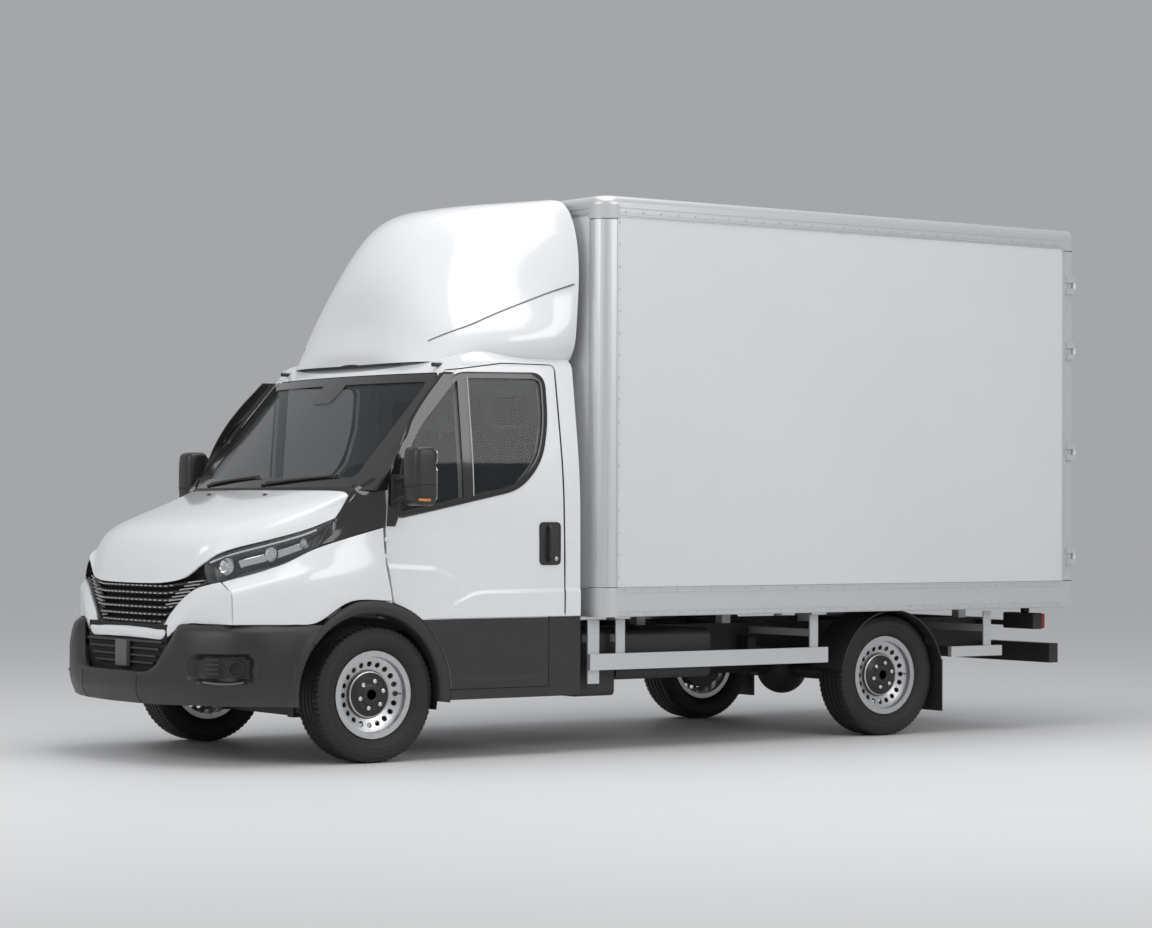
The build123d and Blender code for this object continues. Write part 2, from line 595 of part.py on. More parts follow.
UNDERRUN_HALF = 985
underrun = block(-UNDERRUN_HALF, UNDERRUN_HALF, RAIL_REAR, RAIL_REAR + 70, 385, 500)
for side in (1, -1):
    x0, x1 = sorted((side * (RAIL_INNER_X + 10), side * (RAIL_OUTER_X - 10)))
    underrun += block(x0, x1, RAIL_REAR, RAIL_REAR + 30, 385, RAIL_TOP - 10)
keep("underrun_bar", underrun)
lamp = block(690, 950, RAIL_REAR - 100, RAIL_REAR, 585, 680)
lamp = fillet(lamp.edges().filter_by(Axis.Y), 12)
lamp += block(800, 840, RAIL_REAR - 60, RAIL_REAR - 20, 680, BOX_BOTTOM - 2)
lamp += block(RAIL_OUTER_X, 690, RAIL_REAR - 60, RAIL_REAR - 20, 600, 630)
keep_pair("tail_lamps", lamp)

# Cab outer form: the space common to its side, front and plan outlines
SCREEN_FOOT = (-160, 1387)
SCREEN_HEAD = (374, 1999)
SCREEN_SLOPE = (SCREEN_HEAD[0] - SCREEN_FOOT[0]) / (SCREEN_HEAD[1] - SCREEN_FOOT[1])
PLAN_EASE = 12
firewall_top = SCREEN_FOOT[1] + (FIREWALL_Y - SCREEN_FOOT[0]) / SCREEN_SLOPE
cab_side = [
    (FIREWALL_Y, CAB_FLOOR_BOTTOM, 0),
    (FIREWALL_Y, firewall_top, 0),
    (SCREEN_HEAD[0] + 20, SCREEN_HEAD[1] + 22, 50),
    (640, 2110, 300),
    (CAB_REAR - 7, 2140, 60),
    (CAB_REAR, CAB_FLOOR_BOTTOM, 0),
]
cab_front = mirrored([
    (CAB_HALF_WIDTH, CAB_FLOOR_BOTTOM, 0),
    (CAB_HALF_WIDTH, 1450, 3000),
    (CAB_HALF_WIDTH - 78, 2050, 60),
    (CAB_HALF_WIDTH - 153, 2115, 60),
    (500, 2150, 0),
])
cab_plan = mirrored([
    (CAB_HALF_WIDTH - 78, -400, 0),
    (CAB_HALF_WIDTH - 18, 80, 300),
    (CAB_HALF_WIDTH + PLAN_EASE, 450, 300),
    (CAB_HALF_WIDTH + PLAN_EASE, CAB_REAR + 100, 0),
])


def screen_cut(amount):
    """Space in front of the windscreen, bowed in plan and leaning with the screen."""
    foot = Vector(0, SCREEN_FOOT[0] - SCREEN_SLOPE * 900 + amount, SCREEN_FOOT[1] - 900)
    lean = Vector(0, SCREEN_SLOPE * 2000, 2000)
    sagitta = SCREEN_CURVE - math.sqrt(SCREEN_CURVE**2 - 1200**2)
    arc = ThreePointArc((-1200, sagitta), (0, 0), (1200, sagitta))
    sides = Polyline((1200, sagitta), (1200, -2200), (-1200, -2200), (-1200, sagitta))
    region = make_face(arc.edges() + sides.edges())
    return Pos(foot.X, foot.Y, foot.Z) * extrude(region, amount=lean.length, dir=lean)


def cab_form(inset):
    form = along_x(grown(face(cab_side), -inset) if inset else face(cab_side), -BIG, BIG)
    form &= along_y(grown(face(cab_front), -inset) if inset else face(cab_front), -BIG, BIG)
    form &= along_z(grown(face(cab_plan), -inset) if inset else face(cab_plan), 0, BIG)
    return form - screen_cut(inset * 1.3)


arch = rod_x(-BIG, BIG, ARCH_Y, TYRE_RADIUS, ARCH_RADIUS)
arch -= block(-520, 520, -BIG, BIG, 0, BIG)
door_side = [
    (92, DOOR_BOTTOM, 0),
    (92, 815, 0),
    (52, 1029, 60),
    (49, 1196, 200),
    (63, 1434, 300),
    (191, 1716, 400),
    (436, 2000, 60),
    (797, 2049, 300),
    (1121, 2049, 30),
    (1143, 815, 0),
    (1040, 812, 8),
    (1040, DOOR_BOTTOM, 15),
]
window_side = [
    (120, 1262, 20),
    (120, 1500, 60),
    (235, 1700, 200),
    (500, 1975, 30),
    (1035, 1985, 45),
    (1035, 1750, 120),
    (985, 1550, 120),
    (850, 1410, 120),
]
DIVIDER_Y = 505
DIVIDER_WIDTH = 55
cab_outer = cab_form(0)
cab_inner = cab_form(CAB_WALL)
cab_hollow = cab_outer - cab_inner
flare_disc = rod_x(-BIG, BIG, ARCH_Y, TYRE_RADIUS, FLARE_RADIUS)
DOOR_INNER_LIMIT = CAB_HALF_WIDTH - 158
DOOR_REAR_EASE = 4
door_zone = along_x(face(door_side), DOOR_INNER_LIMIT, BIG)
door_gap_zone = along_x(grown(face(door_side), DOOR_GAP), DOOR_INNER_LIMIT - DOOR_GAP, BIG)
door_gap_zone += Pos(0, DOOR_REAR_EASE, 0) * door_gap_zone
window_zone = along_x(face(window_side), 500, BIG)
window_zone -= block(0, BIG, DIVIDER_Y, DIVIDER_Y + DIVIDER_WIDTH, 0, BIG)

# Windscreen and its aperture
SCREEN_HALF_WIDTH = CAB_HALF_WIDTH - 175
screen_front = mirrored([(SCREEN_HALF_WIDTH, SCREEN_FOOT[1] - 10, 40), (SCREEN_HALF_WIDTH, SCREEN_HEAD[1], 40)])
screen_zone = along_y(face(screen_front), -BIG, 560)
FOOT_INNER_X = CAB_HALF_WIDTH - 129
pillar_foot = block(FOOT_INNER_X, BIG, -BIG, 50, 0, 1386)
shell = cab_hollow - door_gap_zone - other_side(door_gap_zone) - screen_zone - arch
shell -= pillar_foot
shell -= other_side(pillar_foot)
flare_space = rod_x(CAB_HALF_WIDTH - FLARE_DEPTH, BIG, ARCH_Y, TYRE_RADIUS, FLARE_RADIUS)
shell -= flare_space
shell -= other_side(flare_space)
keep("cab_shell", shell)
glass_layer = cab_form(4) - cab_form(4 + GLASS_WALL)
keep("windscreen", glass_layer & screen_zone)

# Cab doors, closed by two panes each
lower_door = block(CAB_HALF_WIDTH - CAB_WALL, CAB_HALF_WIDTH, 80, 1045, DOOR_BOTTOM, CAB_FLOOR_BOTTOM)
door = ((cab_hollow & block(0, BIG, -BIG, BIG, 775, BIG)) + lower_door) & door_zone
door += block(CAB_HALF_WIDTH - CAB_WALL, CAB_HALF_WIDTH, 80, 1045, CAB_FLOOR_BOTTOM, 776) & door_zone
door -= rod_x(-BIG, BIG, ARCH_Y, TYRE_RADIUS, FLARE_RADIUS + DOOR_GAP + 2)
door -= window_zone
CAB_HINGE_X = CAB_HALF_WIDTH - 17
CAB_HINGE_Y = 46
CAB_KNUCKLE_RADIUS = 8
CAB_KNUCKLE_THIRD = 22
cab_hinge_places = [1015, 1100]
hinge_pockets = Compound(children=[
    rod_z(CAB_HINGE_X, CAB_HINGE_Y, z - 1, z + 3 * CAB_KNUCKLE_THIRD + 1, CAB_KNUCKLE_RADIUS + 3)
    for z in cab_hinge_places
])
door -= hinge_pockets
pillar_knuckles = []
for z in cab_hinge_places:
    z1 = z + CAB_KNUCKLE_THIRD + SEAT_GAP
    z2 = z + 2 * CAB_KNUCKLE_THIRD - SEAT_GAP
    door += rod_z(CAB_HINGE_X, CAB_HINGE_Y, z1, z2, CAB_KNUCKLE_RADIUS)
    door += block(CAB_HINGE_X - 14, CAB_HINGE_X - 2, CAB_HINGE_Y, CAB_HINGE_Y + 50, z1, z2)
    for z0 in (z, z + 2 * CAB_KNUCKLE_THIRD):
        knuckle_end = rod_z(CAB_HINGE_X, CAB_HINGE_Y, z0, z0 + CAB_KNUCKLE_THIRD, CAB_KNUCKLE_RADIUS)
        knuckle_end += block(
            CAB_HINGE_X - 16, CAB_HINGE_X - 4, CAB_HINGE_Y - 40, CAB_HINGE_Y, z0, z0 + CAB_KNUCKLE_THIRD
        )
        pillar_knuckles.append(knuckle_end)
keep_left_right("door", door)
glass = (cab_form(8) - cab_form(8 + GLASS_WALL)) & window_zone
keep_left_right("door_glass", glass)

# Black cladding: wheel arch flares, and sills that run up behind the doors
flare = rod_x(CAB_HALF_WIDTH - FLARE_DEPTH, CAB_HALF_WIDTH + FLARE_PROUD, ARCH_Y, TYRE_RADIUS, FLARE_RADIUS)
flare -= arch
flare -= block(0, BIG, -BIG, ARCH_Y, -BIG, BUMPER_TOP)
flare -= block(0, BIG, ARCH_Y, BIG, -BIG, SILL_BOTTOM)
keep_pair("arch_flares", flare)
sill_side = [
    (ARCH_Y + FLARE_RADIUS + 2, SILL_BOTTOM, 0),
    (ARCH_Y + FLARE_RADIUS + 2, DOOR_BOTTOM - DOOR_GAP, 0),
    (1040 + DOOR_GAP, DOOR_BOTTOM - DOOR_GAP, 0),
    (1040 + DOOR_GAP, SKIN_BREAK, 0),
    (CAB_REAR, SKIN_BREAK, 0),
    (CAB_REAR, SILL_BOTTOM, 0),
]
sill = along_x(face(sill_side), CAB_HALF_WIDTH - CAB_WALL, CAB_HALF_WIDTH)
sill += block(RAIL_OUTER_X, CAB_HALF_WIDTH - 10, 500, 1200, SILL_BOTTOM, SILL_BOTTOM + 30)
sill += block(RAIL_OUTER_X, RAIL_OUTER_X + 20, 500, 1200, SILL_BOTTOM, SILL_BOTTOM + 240)
keep_pair("cab_sills", sill)

# Nose form
NOSE_FRONT = -905
nose_side = [
    (NOSE_FRONT, 960, 60),
    (-870, 1120, 80),
    (-760, 1210, 150),
    (-480, 1297, 600),
    (SCREEN_FOOT[0] + 10, 1392, 0),
    (146, 1392, 0),
    (146, 525, 0),
    (NOSE_FRONT, 525, 0),
]
nose_plan = mirrored([
    (500, NOSE_FRONT + 25, 0),
    (560, -850, 100),
    (CAB_HALF_WIDTH - 233, -780, 160),
    (CAB_HALF_WIDTH - 103, -560, 400),
    (CAB_HALF_WIDTH - 43, -250, 500),
    (CAB_HALF_WIDTH - 21, 46, 0),
    (CAB_HALF_WIDTH - 9, 160, 0),
])
nose_plan[0:0] = [(0, NOSE_FRONT - 4, 0)]
nose_front_section = mirrored([
    (CAB_HALF_WIDTH, 300, 0),
    (CAB_HALF_WIDTH, 1130, 80),
    (CAB_HALF_WIDTH - 111, 1285, 40),
    (CAB_HALF_WIDTH - 135, 1402, 14),
    (500, 1412, 0),
])
BONNET_SLOPE = 0.22


def nose_form(inset):
    side = grown(face(nose_side), -inset) if inset else face(nose_side)
    plan = grown(face(nose_plan), -inset) if inset else face(nose_plan)
    section = grown(face(nose_front_section), -inset) if inset else face(nose_front_section)
    slope = Vector(0, -1400, -1400 * BONNET_SLOPE)
    shoulder = Pos(0, 200, 200 * BONNET_SLOPE) * extrude(Plane.XZ * section, amount=slope.length, dir=slope)
    return along_x(side, -BIG, BIG) & along_z(plan, 0, BIG) & shoulder


nose_shell = nose_form(0) - nose_form(NOSE_WALL)
bonnet_plan = mirrored([
    (500, -960, 0),
    (640, -860, 60),
    (700, -700, 100),
    (CAB_HALF_WIDTH - 173, -366, 300),
    (CAB_HALF_WIDTH - 123, -190, 60),
    (CAB_HALF_WIDTH - 133, -98, 15),
    (600, -108, 0),
    (300, -145, 0),
])
lip_front = mirrored([
    (487, 932, 60),
    (600, 1005, 60),
    (1100, 1110, 0),
    (1100, 1600, 0),
])
lip_front[0:0] = [(0, 902, 0)]
bonnet_zone = along_z(face(bonnet_plan), 0, BIG) & along_y(face(lip_front), -BIG, BIG)
bonnet_gap_zone = along_z(grown(face(bonnet_plan), DOOR_GAP), 0, BIG)
bonnet_gap_zone &= along_y(grown(face(lip_front), DOOR_GAP), -BIG, BIG)
BONNET_REAR_GAP = 33
BONNET_PIN_RADIUS = 4
LAMP_EXTRA_GAP = 26
BONNET_HINGE = (-114, 1364)
bonnet_pin = rod_x(FOOT_INNER_X - 28, FOOT_INNER_X + 16, BONNET_HINGE[0], BONNET_HINGE[1], BONNET_PIN_RADIUS)
BONNET_LUG_HALF = 16
bonnet_lug = block(
    FOOT_INNER_X + 6,
    FOOT_INNER_X + 40,
    BONNET_HINGE[0] - BONNET_LUG_HALF,
    BONNET_HINGE[0] + BONNET_LUG_HALF,
    1225,
    BONNET_HINGE[1] + 10,
)
bonnet = nose_shell & bonnet_zone & screen_cut(-BONNET_REAR_GAP)
bonnet_bore = rod_x(FOOT_INNER_X - 74, FOOT_INNER_X + 76, BONNET_HINGE[0], BONNET_HINGE[1], BONNET_PIN_RADIUS + 0.05)
bonnet -= bonnet_bore
bonnet -= other_side(bonnet_bore)
keep("bonnet", bonnet)

lamp_side = [
    (-960, 890, 0),
    (-788, 913, 60),
    (-476, 1012, 60),
    (-300, 1099, 20),
    (-185, 1240, 10),
    (-366, 1190, 0),
    (-960, 1060, 0),
]
lamp_body = nose_form(0) - nose_form(2 * NOSE_WALL)
lamp_zone = along_x(face(lamp_side), 645, BIG)
lamp_gap = bonnet_gap_zone + Pos(0, -LAMP_EXTRA_GAP, 0) * bonnet_gap_zone
headlamp = (lamp_body & lamp_zone) - lamp_gap
keep_pair("headlamps", headlamp)

grille_front = mirrored([
    (362, 692, 20),
    (560, 850, 60),
    (645, 900, 10),
    (645, 1000, 10),
])
grille_zone = along_y(face(grille_front), -BIG, -700)
GRILLE_SLATS = 5
grille = (nose_form(12) - nose_form(12 + NOSE_WALL)) & grille_zone
grille -= bonnet_gap_zone
slat_cut = nose_form(0) - nose_form(30)
for i in range(GRILLE_SLATS):
    z = 712 + i * 36
    reach = 350 + (z - 692) * 1.0
    grille -= block(-reach, reach, -BIG, -700, z, z + 18) & slat_cut
lower_front = mirrored([(290, 478, 10), (420, 618, 10)])
number_recess = along_y(face(lower_front), -920, -880)
for z in (510, 548, 586):
    number_recess -= block(-BIG, BIG, -930, -900, z, z + 16)
keep("front_grilles", grille, number_recess)

trim_side = [
    (-300, 1099, 0),
    (46, 1195, 0),
    (46, 1386, 0),
    (-90, 1386, 0),
    (-185, 1240, 0),
]
trim_zone = along_x(face(trim_side), FOOT_INNER_X + 2, BIG)
trim = (nose_shell & trim_zone) - bonnet_gap_zone - lamp_zone - door_gap_zone
trim += bonnet_lug + bonnet_pin
keep("pillar_trims", trim, other_side(trim))

wing_top = [
    (-1000, 600, 0),
    (-1000, 890, 0),
    (-788, 913, 60),
    (-476, 1012, 60),
    (-300, 1099, 0),
    (46, 1195, 0),
    (46, 600, 0),
]
wing_zone = along_x(face(wing_top), -BIG, BIG)
outer = (nose_shell & wing_zone) - bonnet_gap_zone - grille_zone - lamp_zone - other_side(lamp_zone)
outer -= flare_disc
outer -= door_gap_zone
outer -= other_side(door_gap_zone)
WING_SPLIT = -763
below_bumper = mirrored([(435, 625, 0), (505, BUMPER_TOP, 0), (1200, BUMPER_TOP, 0), (1200, 400, 0)])
outer -= along_y(face(below_bumper), -BIG, BIG)
wing = outer & block(0, BIG, WING_SPLIT, BIG, 0, BIG)
wing -= hinge_pockets
for piece in pillar_knuckles:
    wing += piece
nose_panel = outer & block(-BIG, BIG, -BIG, WING_SPLIT, 0, BIG)
keep_pair("front_wings", wing)
keep("nose_panel", nose_panel)

# Bumper
bumper_plan = mirrored([
    (300, BUMPER_FRONT + 15, 0),
    (650, -885, 300),
    (CAB_HALF_WIDTH - 143, -720, 300),
    (CAB_HALF_WIDTH - 48, -460, 400),
    (CAB_HALF_WIDTH, -280, 0),
    (CAB_HALF_WIDTH, -200, 0),
])
bumper_plan[0:0] = [(0, BUMPER_FRONT - 3, 0)]
BUMPER_WALL = 60
bumper_side = [
    (BUMPER_FRONT + 40, BUMPER_BOTTOM, 0),
    (BUMPER_FRONT, 330, 60),
    (BUMPER_FRONT, 500, 60),
    (BUMPER_FRONT + 80, BUMPER_TOP, 0),
    (0, BUMPER_TOP, 0),
    (0, BUMPER_BOTTOM, 0),
]
bumper = along_z(face(bumper_plan), 0, BIG) - along_z(grown(face(bumper_plan), -BUMPER_WALL), 0, BIG)
bumper &= along_x(face(bumper_side), -BIG, BIG)
bumper_opening = mirrored([(290, 478, 10), (435, 625, 0), (505, BUMPER_TOP, 0), (505, 800, 0)])
bumper -= along_y(face(bumper_opening), -BIG, -500)
bumper -= arch
bumper -= block(-BIG, BIG, -280, BIG, 0, BIG)
for side in (1, -1):
    x0, x1 = sorted((side * RAIL_INNER_X, side * RAIL_OUTER_X))
    bumper += block(x0, x1, BUMPER_FRONT + BUMPER_WALL - 10, RAIL_FRONT, RAIL_BOTTOM, RAIL_BOTTOM + 50)
keep("front_bumper", bumper)

# Roof deflector: a hollow shell, open below and behind, lofted through level sections
DEFLECTOR_REAR = 1262
deflector_levels = [
    # height, front Y at the middle, corner (X, Y), side (X, Y), half width at the rear
    (2060, 425, 735, 540, 820, 780, 850),
    (2208, 440, 700, 575, 865, 800, 932),
    (2423, 475, 520, 580, 770, 860, 952),
    (2663, 555, 320, 622, 650, 900, 948),
    (2790, 640, 250, 690, 560, 915, 915),
    (2870, 735, 230, 780, 520, 970, 872),
    (2930, 900, 250, 935, 520, 1080, 800),
    (2955, 1090, 260, 1110, 520, 1190, 700),
]


def deflector_form(inset):
    """Solid through the level sections, each drawn in by the inset."""
    sections = []
    for z, front, corner_x, corner_y, side_x, side_y, half_width in deflector_levels:
        right_points = [
            (corner_x - 0.8 * inset, corner_y + inset),
            (side_x - inset, side_y + 0.6 * inset),
            (half_width - inset, DEFLECTOR_REAR + inset / 10),
        ]
        left_points = [(-x, y) for x, y in reversed(right_points)]
        curve = Spline(*left_points, (0, front + inset), *right_points)
        back = Line(right_points[-1], left_points[0])
        sections.append(Pos(0, 0, z - inset) * make_face([curve, back]))
    return loft(sections)


below_cavity = block(-700, 700, 600, BIG, 1900, 2100)
cavity = deflector_form(DEFLECTOR_WALL)
deflector = deflector_form(0) - cavity - below_cavity - cab_form(0)
keep("roof_deflector", deflector.solids().sort_by(SortBy.VOLUME)[-1])

# Mirrors on the doors
MIRROR_X = CAB_HALF_WIDTH + 117
MIRROR_WIDTH = 143
mirror_body = block(MIRROR_X, MIRROR_X + MIRROR_WIDTH, 50, 180, 1311, 1596)
mirror_body = fillet(mirror_body.edges().filter_by(Axis.Z), 30)
arm_start = CAB_HALF_WIDTH - 38
for z in (1325, 1415):
    mirror_body += block(arm_start + 20, MIRROR_X + 10, 85, 120, z, z + 40)
mirror_body -= cab_form(0)
keep_left_right("mirror", mirror_body)

# Inside of the cab
dash_front = FIREWALL_Y + CAB_WALL + SEAT_GAP
DASH_SCREEN_GAP = 68
dash_side = [
    (dash_front, 1000, 0),
    (dash_front, 1270, 0),
    (-50, 1330, 40),
    (180, 1340, 60),
    (300, 1180, 60),
    (260, 1000, 40),
]
DASH_HALF_WIDTH = CAB_HALF_WIDTH - 143
dashboard = along_x(face(dash_side), -DASH_HALF_WIDTH, DASH_HALF_WIDTH) - screen_cut(DASH_SCREEN_GAP)

WHEEL_X = -460
WHEEL_Y = 330
WHEEL_Z = 1330
STEER_TILT = 35
steering_wheel = Torus(180, 15) + Pos(0, 0, -10) * Cylinder(45, 40)
for angle in (90, 210, 330):
    steering_wheel += Rot(0, 0, angle) * Pos(100, 0, -6) * Box(170, 34, 12)
steering_wheel += Pos(0, 0, -75) * Cylinder(22, 110)
steering_wheel = Pos(WHEEL_X, WHEEL_Y, WHEEL_Z) * Rot(-STEER_TILT, 0, 0) * steering_wheel
keep("steering_wheel", steering_wheel)
COLUMN_LENGTH = 130
column_hole = Pos(0, 0, -COLUMN_LENGTH - SEAT_GAP + 200) * Cylinder(27, 400)
dashboard -= Pos(WHEEL_X, WHEEL_Y, WHEEL_Z) * Rot(-STEER_TILT, 0, 0) * column_hole
keep("dashboard", dashboard)


def seat(x, width, heads):
    seat_side = [
        (560, 775, 20),
        (560, 1090, 20),
        (540, 1190, 40),
        (930, 1160, 60),
        (1030, 1720, 40),
        (1110, 1740, 30),
        (1110, 1000, 40),
        (1060, 775, 20),
    ]
    body = along_x(face(seat_side), x - width / 2, x + width / 2)
    for head_x in heads:
        body += block(head_x - 120, head_x + 120, 1040, 1100, 1715, 1900)
    return body


keep("cab_seats", seat(-460, 500, [-460]), seat(350, 900, [130, 570]))


# Write the nodes
shift = Pos(0, -MID_Y, 0)
for name, solids in nodes.items():
    moved = [shift * solid for solid in solids]
    export_step(Compound(children=moved) if len(moved) > 1 else moved[0], f"parts/{name}.step")
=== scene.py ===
import bpy
import bmesh
import math
import numpy as np
from mathutils import Matrix, Vector


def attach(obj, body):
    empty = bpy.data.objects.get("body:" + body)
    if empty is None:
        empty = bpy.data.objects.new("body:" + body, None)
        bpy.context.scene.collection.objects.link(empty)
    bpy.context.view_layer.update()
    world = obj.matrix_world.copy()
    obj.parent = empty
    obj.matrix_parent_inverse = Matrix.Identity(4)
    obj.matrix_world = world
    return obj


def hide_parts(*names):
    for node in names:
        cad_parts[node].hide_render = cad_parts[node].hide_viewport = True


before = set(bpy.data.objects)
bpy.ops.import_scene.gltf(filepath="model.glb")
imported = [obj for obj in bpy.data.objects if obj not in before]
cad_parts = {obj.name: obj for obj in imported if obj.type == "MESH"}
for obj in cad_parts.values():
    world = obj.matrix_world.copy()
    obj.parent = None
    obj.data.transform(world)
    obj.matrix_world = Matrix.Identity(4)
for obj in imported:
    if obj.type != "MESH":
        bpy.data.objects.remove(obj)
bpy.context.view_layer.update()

# Places are written in millimetres, as in the part's source: X across, Y behind the front axle,
# Z up from the ground. LENGTH_SHIFT brings them to the shared frame.
LENGTH_SHIFT = 1905.5
BODY = "chassis"


def place(x, y, z):
    """Point in the shared frame, in metres."""
    return (x / 1000, (y - LENGTH_SHIFT) / 1000, z / 1000)


# Shared effects, as shader node groups
def new_group(name, inputs, outputs):
    tree = bpy.data.node_groups.new(name, "ShaderNodeTree")
    for label, kind, value in inputs:
        socket = tree.interface.new_socket(label, in_out="INPUT", socket_type=kind)
        if value is not None:
            socket.default_value = value
    for label, kind in outputs:
        tree.interface.new_socket(label, in_out="OUTPUT", socket_type=kind)
    return tree, tree.nodes.new("NodeGroupInput"), tree.nodes.new("NodeGroupOutput")


def noise(tree, vector, scale, detail=3.0):
    node = tree.nodes.new("ShaderNodeTexNoise")
    node.inputs["Detail"].default_value = detail
    tree.links.new(vector, node.inputs["Vector"])
    tree.links.new(scale, node.inputs["Scale"])
    return node.outputs["Fac"]


def stretch(tree, value, low, high):
    """Map low..high of a value to 0..1."""
    node = tree.nodes.new("ShaderNodeMapRange")
    node.inputs["From Min"].default_value = low
    node.inputs["From Max"].default_value = high
    tree.links.new(value, node.inputs["Value"])
    return node.outputs["Result"]


def mottle_group():
    """Soft cloudy mask of two sizes, for tone and gloss that vary over a surface."""
    tree, given, out = new_group(
        "cloudy tone", [("Scale", "NodeSocketFloat", 3.0)], [("Mask", "NodeSocketFloat")]
    )
    coords = tree.nodes.new("ShaderNodeTexCoord").outputs["Object"]
    finer = tree.nodes.new("ShaderNodeMath")
    finer.operation = "MULTIPLY"
    finer.inputs[1].default_value = 6.3
    tree.links.new(given.outputs["Scale"], finer.inputs[0])
    mix = tree.nodes.new("ShaderNodeMath")
    mix.operation = "MULTIPLY_ADD"
    mix.inputs[1].default_value = 0.35
    tree.links.new(noise(tree, coords, finer.outputs[0]), mix.inputs[0])
    tree.links.new(noise(tree, coords, given.outputs["Scale"]), mix.inputs[2])
    tree.links.new(stretch(tree, mix.outputs[0], 0.4, 1.0), out.inputs["Mask"])
    return tree


def grain_group():
    """Fine leather-like grain of moulded plastic, or pitting of cast metal and rubber."""
    tree, given, out = new_group(
        "moulded grain", [("Scale", "NodeSocketFloat", 600.0)], [("Height", "NodeSocketFloat")]
    )
    coords = tree.nodes.new("ShaderNodeTexCoord").outputs["Object"]
    cells = tree.nodes.new("ShaderNodeTexVoronoi")
    cells.feature = "SMOOTH_F1"
    tree.links.new(coords, cells.inputs["Vector"])
    tree.links.new(given.outputs["Scale"], cells.inputs["Scale"])
    total = tree.nodes.new("ShaderNodeMath")
    total.operation = "ADD"
    tree.links.new(cells.outputs["Distance"], total.inputs[0])
    tree.links.new(noise(tree, coords, given.outputs["Scale"]), total.inputs[1])
    tree.links.new(total.outputs[0], out.inputs["Height"])
    return tree


def brushed_group():
    """Streaks along one direction, as on drawn or anodised metal."""
    tree, given, out = new_group(
        "drawn streaks",
        [("Scale", "NodeSocketVector", (400.0, 4.0, 400.0))],
        [("Mask", "NodeSocketFloat")],
    )
    coords = tree.nodes.new("ShaderNodeTexCoord").outputs["Object"]
    times = tree.nodes.new("ShaderNodeVectorMath")
    times.operation = "MULTIPLY"
    tree.links.new(coords, times.inputs[0])
    tree.links.new(given.outputs["Scale"], times.inputs[1])
    streaks = tree.nodes.new("ShaderNodeTexNoise")
    streaks.inputs["Scale"].default_value = 1.0
    streaks.inputs["Detail"].default_value = 2.0
    tree.links.new(times.outputs[0], streaks.inputs["Vector"])
    tree.links.new(stretch(tree, streaks.outputs["Fac"], 0.25, 0.75), out.inputs["Mask"])
    return tree


def dust_group():
    """Mask of road dust, thickest near the ground and broken up by clouds."""
    tree, given, out = new_group(
        "road dust", [("Height", "NodeSocketFloat", 0.5)], [("Mask", "NodeSocketFloat")]
    )
    coords = tree.nodes.new("ShaderNodeTexCoord").outputs["Object"]
    split = tree.nodes.new("ShaderNodeSeparateXYZ")
    tree.links.new(coords, split.inputs[0])
    fade = tree.nodes.new("ShaderNodeMapRange")
    fade.inputs["To Min"].default_value = 1.0
    fade.inputs["To Max"].default_value = 0.0
    tree.links.new(split.outputs["Z"], fade.inputs["Value"])
    tree.links.new(given.outputs["Height"], fade.inputs["From Max"])
    clouds = tree.nodes.new("ShaderNodeTexNoise")
    clouds.inputs["Scale"].default_value = 9.0
    clouds.inputs["Detail"].default_value = 6.0
    tree.links.new(coords, clouds.inputs["Vector"])
    times = tree.nodes.new("ShaderNodeMath")
    times.operation = "MULTIPLY"
    tree.links.new(fade.outputs["Result"], times.inputs[0])
    tree.links.new(clouds.outputs["Fac"], times.inputs[1])
    tree.links.new(times.outputs[0], out.inputs["Mask"])
    return tree


MOTTLE = mottle_group()
GRAIN = grain_group()
STREAKS = brushed_group()
DUST = dust_group()
DUST_COLOUR = (0.13, 0.12, 0.105, 1)


class Finish:
    """Material under construction: one Principled shader and what feeds it."""

    def __init__(self, name, roughness=0.5, metallic=0.0, **sockets):
        self.material = bpy.data.materials.new(name)
        self.material.use_nodes = True
        self.tree = self.material.node_tree
        self.shader = self.tree.nodes["Principled BSDF"]
        self.shader.inputs["Roughness"].default_value = roughness
        self.shader.inputs["Metallic"].default_value = metallic
        for label, value in sockets.items():
            self.shader.inputs[label.replace("_", " ")].default_value = value

    def effect(self, group, label, value):
        """Place a shared effect with its own value, and give its output."""
        node = self.tree.nodes.new("ShaderNodeGroup")
        node.node_tree = group
        node.inputs[label].default_value = value
        return node.outputs[0]

    def between(self, mask, first, second):
        """Colour that goes from first to second with a mask. first may be another colour output."""
        node = self.tree.nodes.new("ShaderNodeMix")
        node.data_type = "RGBA"
        self.tree.links.new(mask, node.inputs["Factor"])
        if isinstance(first, tuple):
            node.inputs[6].default_value = first
        else:
            self.tree.links.new(first, node.inputs[6])
        node.inputs[7].default_value = second
        return node.outputs[2]

    def colour(self, output):
        self.tree.links.new(output, self.shader.inputs["Base Color"])

    def gloss(self, mask, low, high):
        """Roughness between low and high, following a mask."""
        node = self.tree.nodes.new("ShaderNodeMapRange")
        node.inputs["To Min"].default_value = low
        node.inputs["To Max"].default_value = high
        self.tree.links.new(mask, node.inputs["Value"])
        self.tree.links.new(node.outputs["Result"], self.shader.inputs["Roughness"])

    def relief(self, height, distance, strength=1.0):
        """Bump of that depth in metres."""
        node = self.tree.nodes.new("ShaderNodeBump")
        node.inputs["Distance"].default_value = distance
        node.inputs["Strength"].default_value = strength
        self.tree.links.new(height, node.inputs["Height"])
        self.tree.links.new(node.outputs["Normal"], self.shader.inputs["Normal"])


def grey(level, tint=0.0):
    """Neutral colour, cooler for a positive tint."""
    return (level * (1 - tint), level, level * (1 + tint), 1)


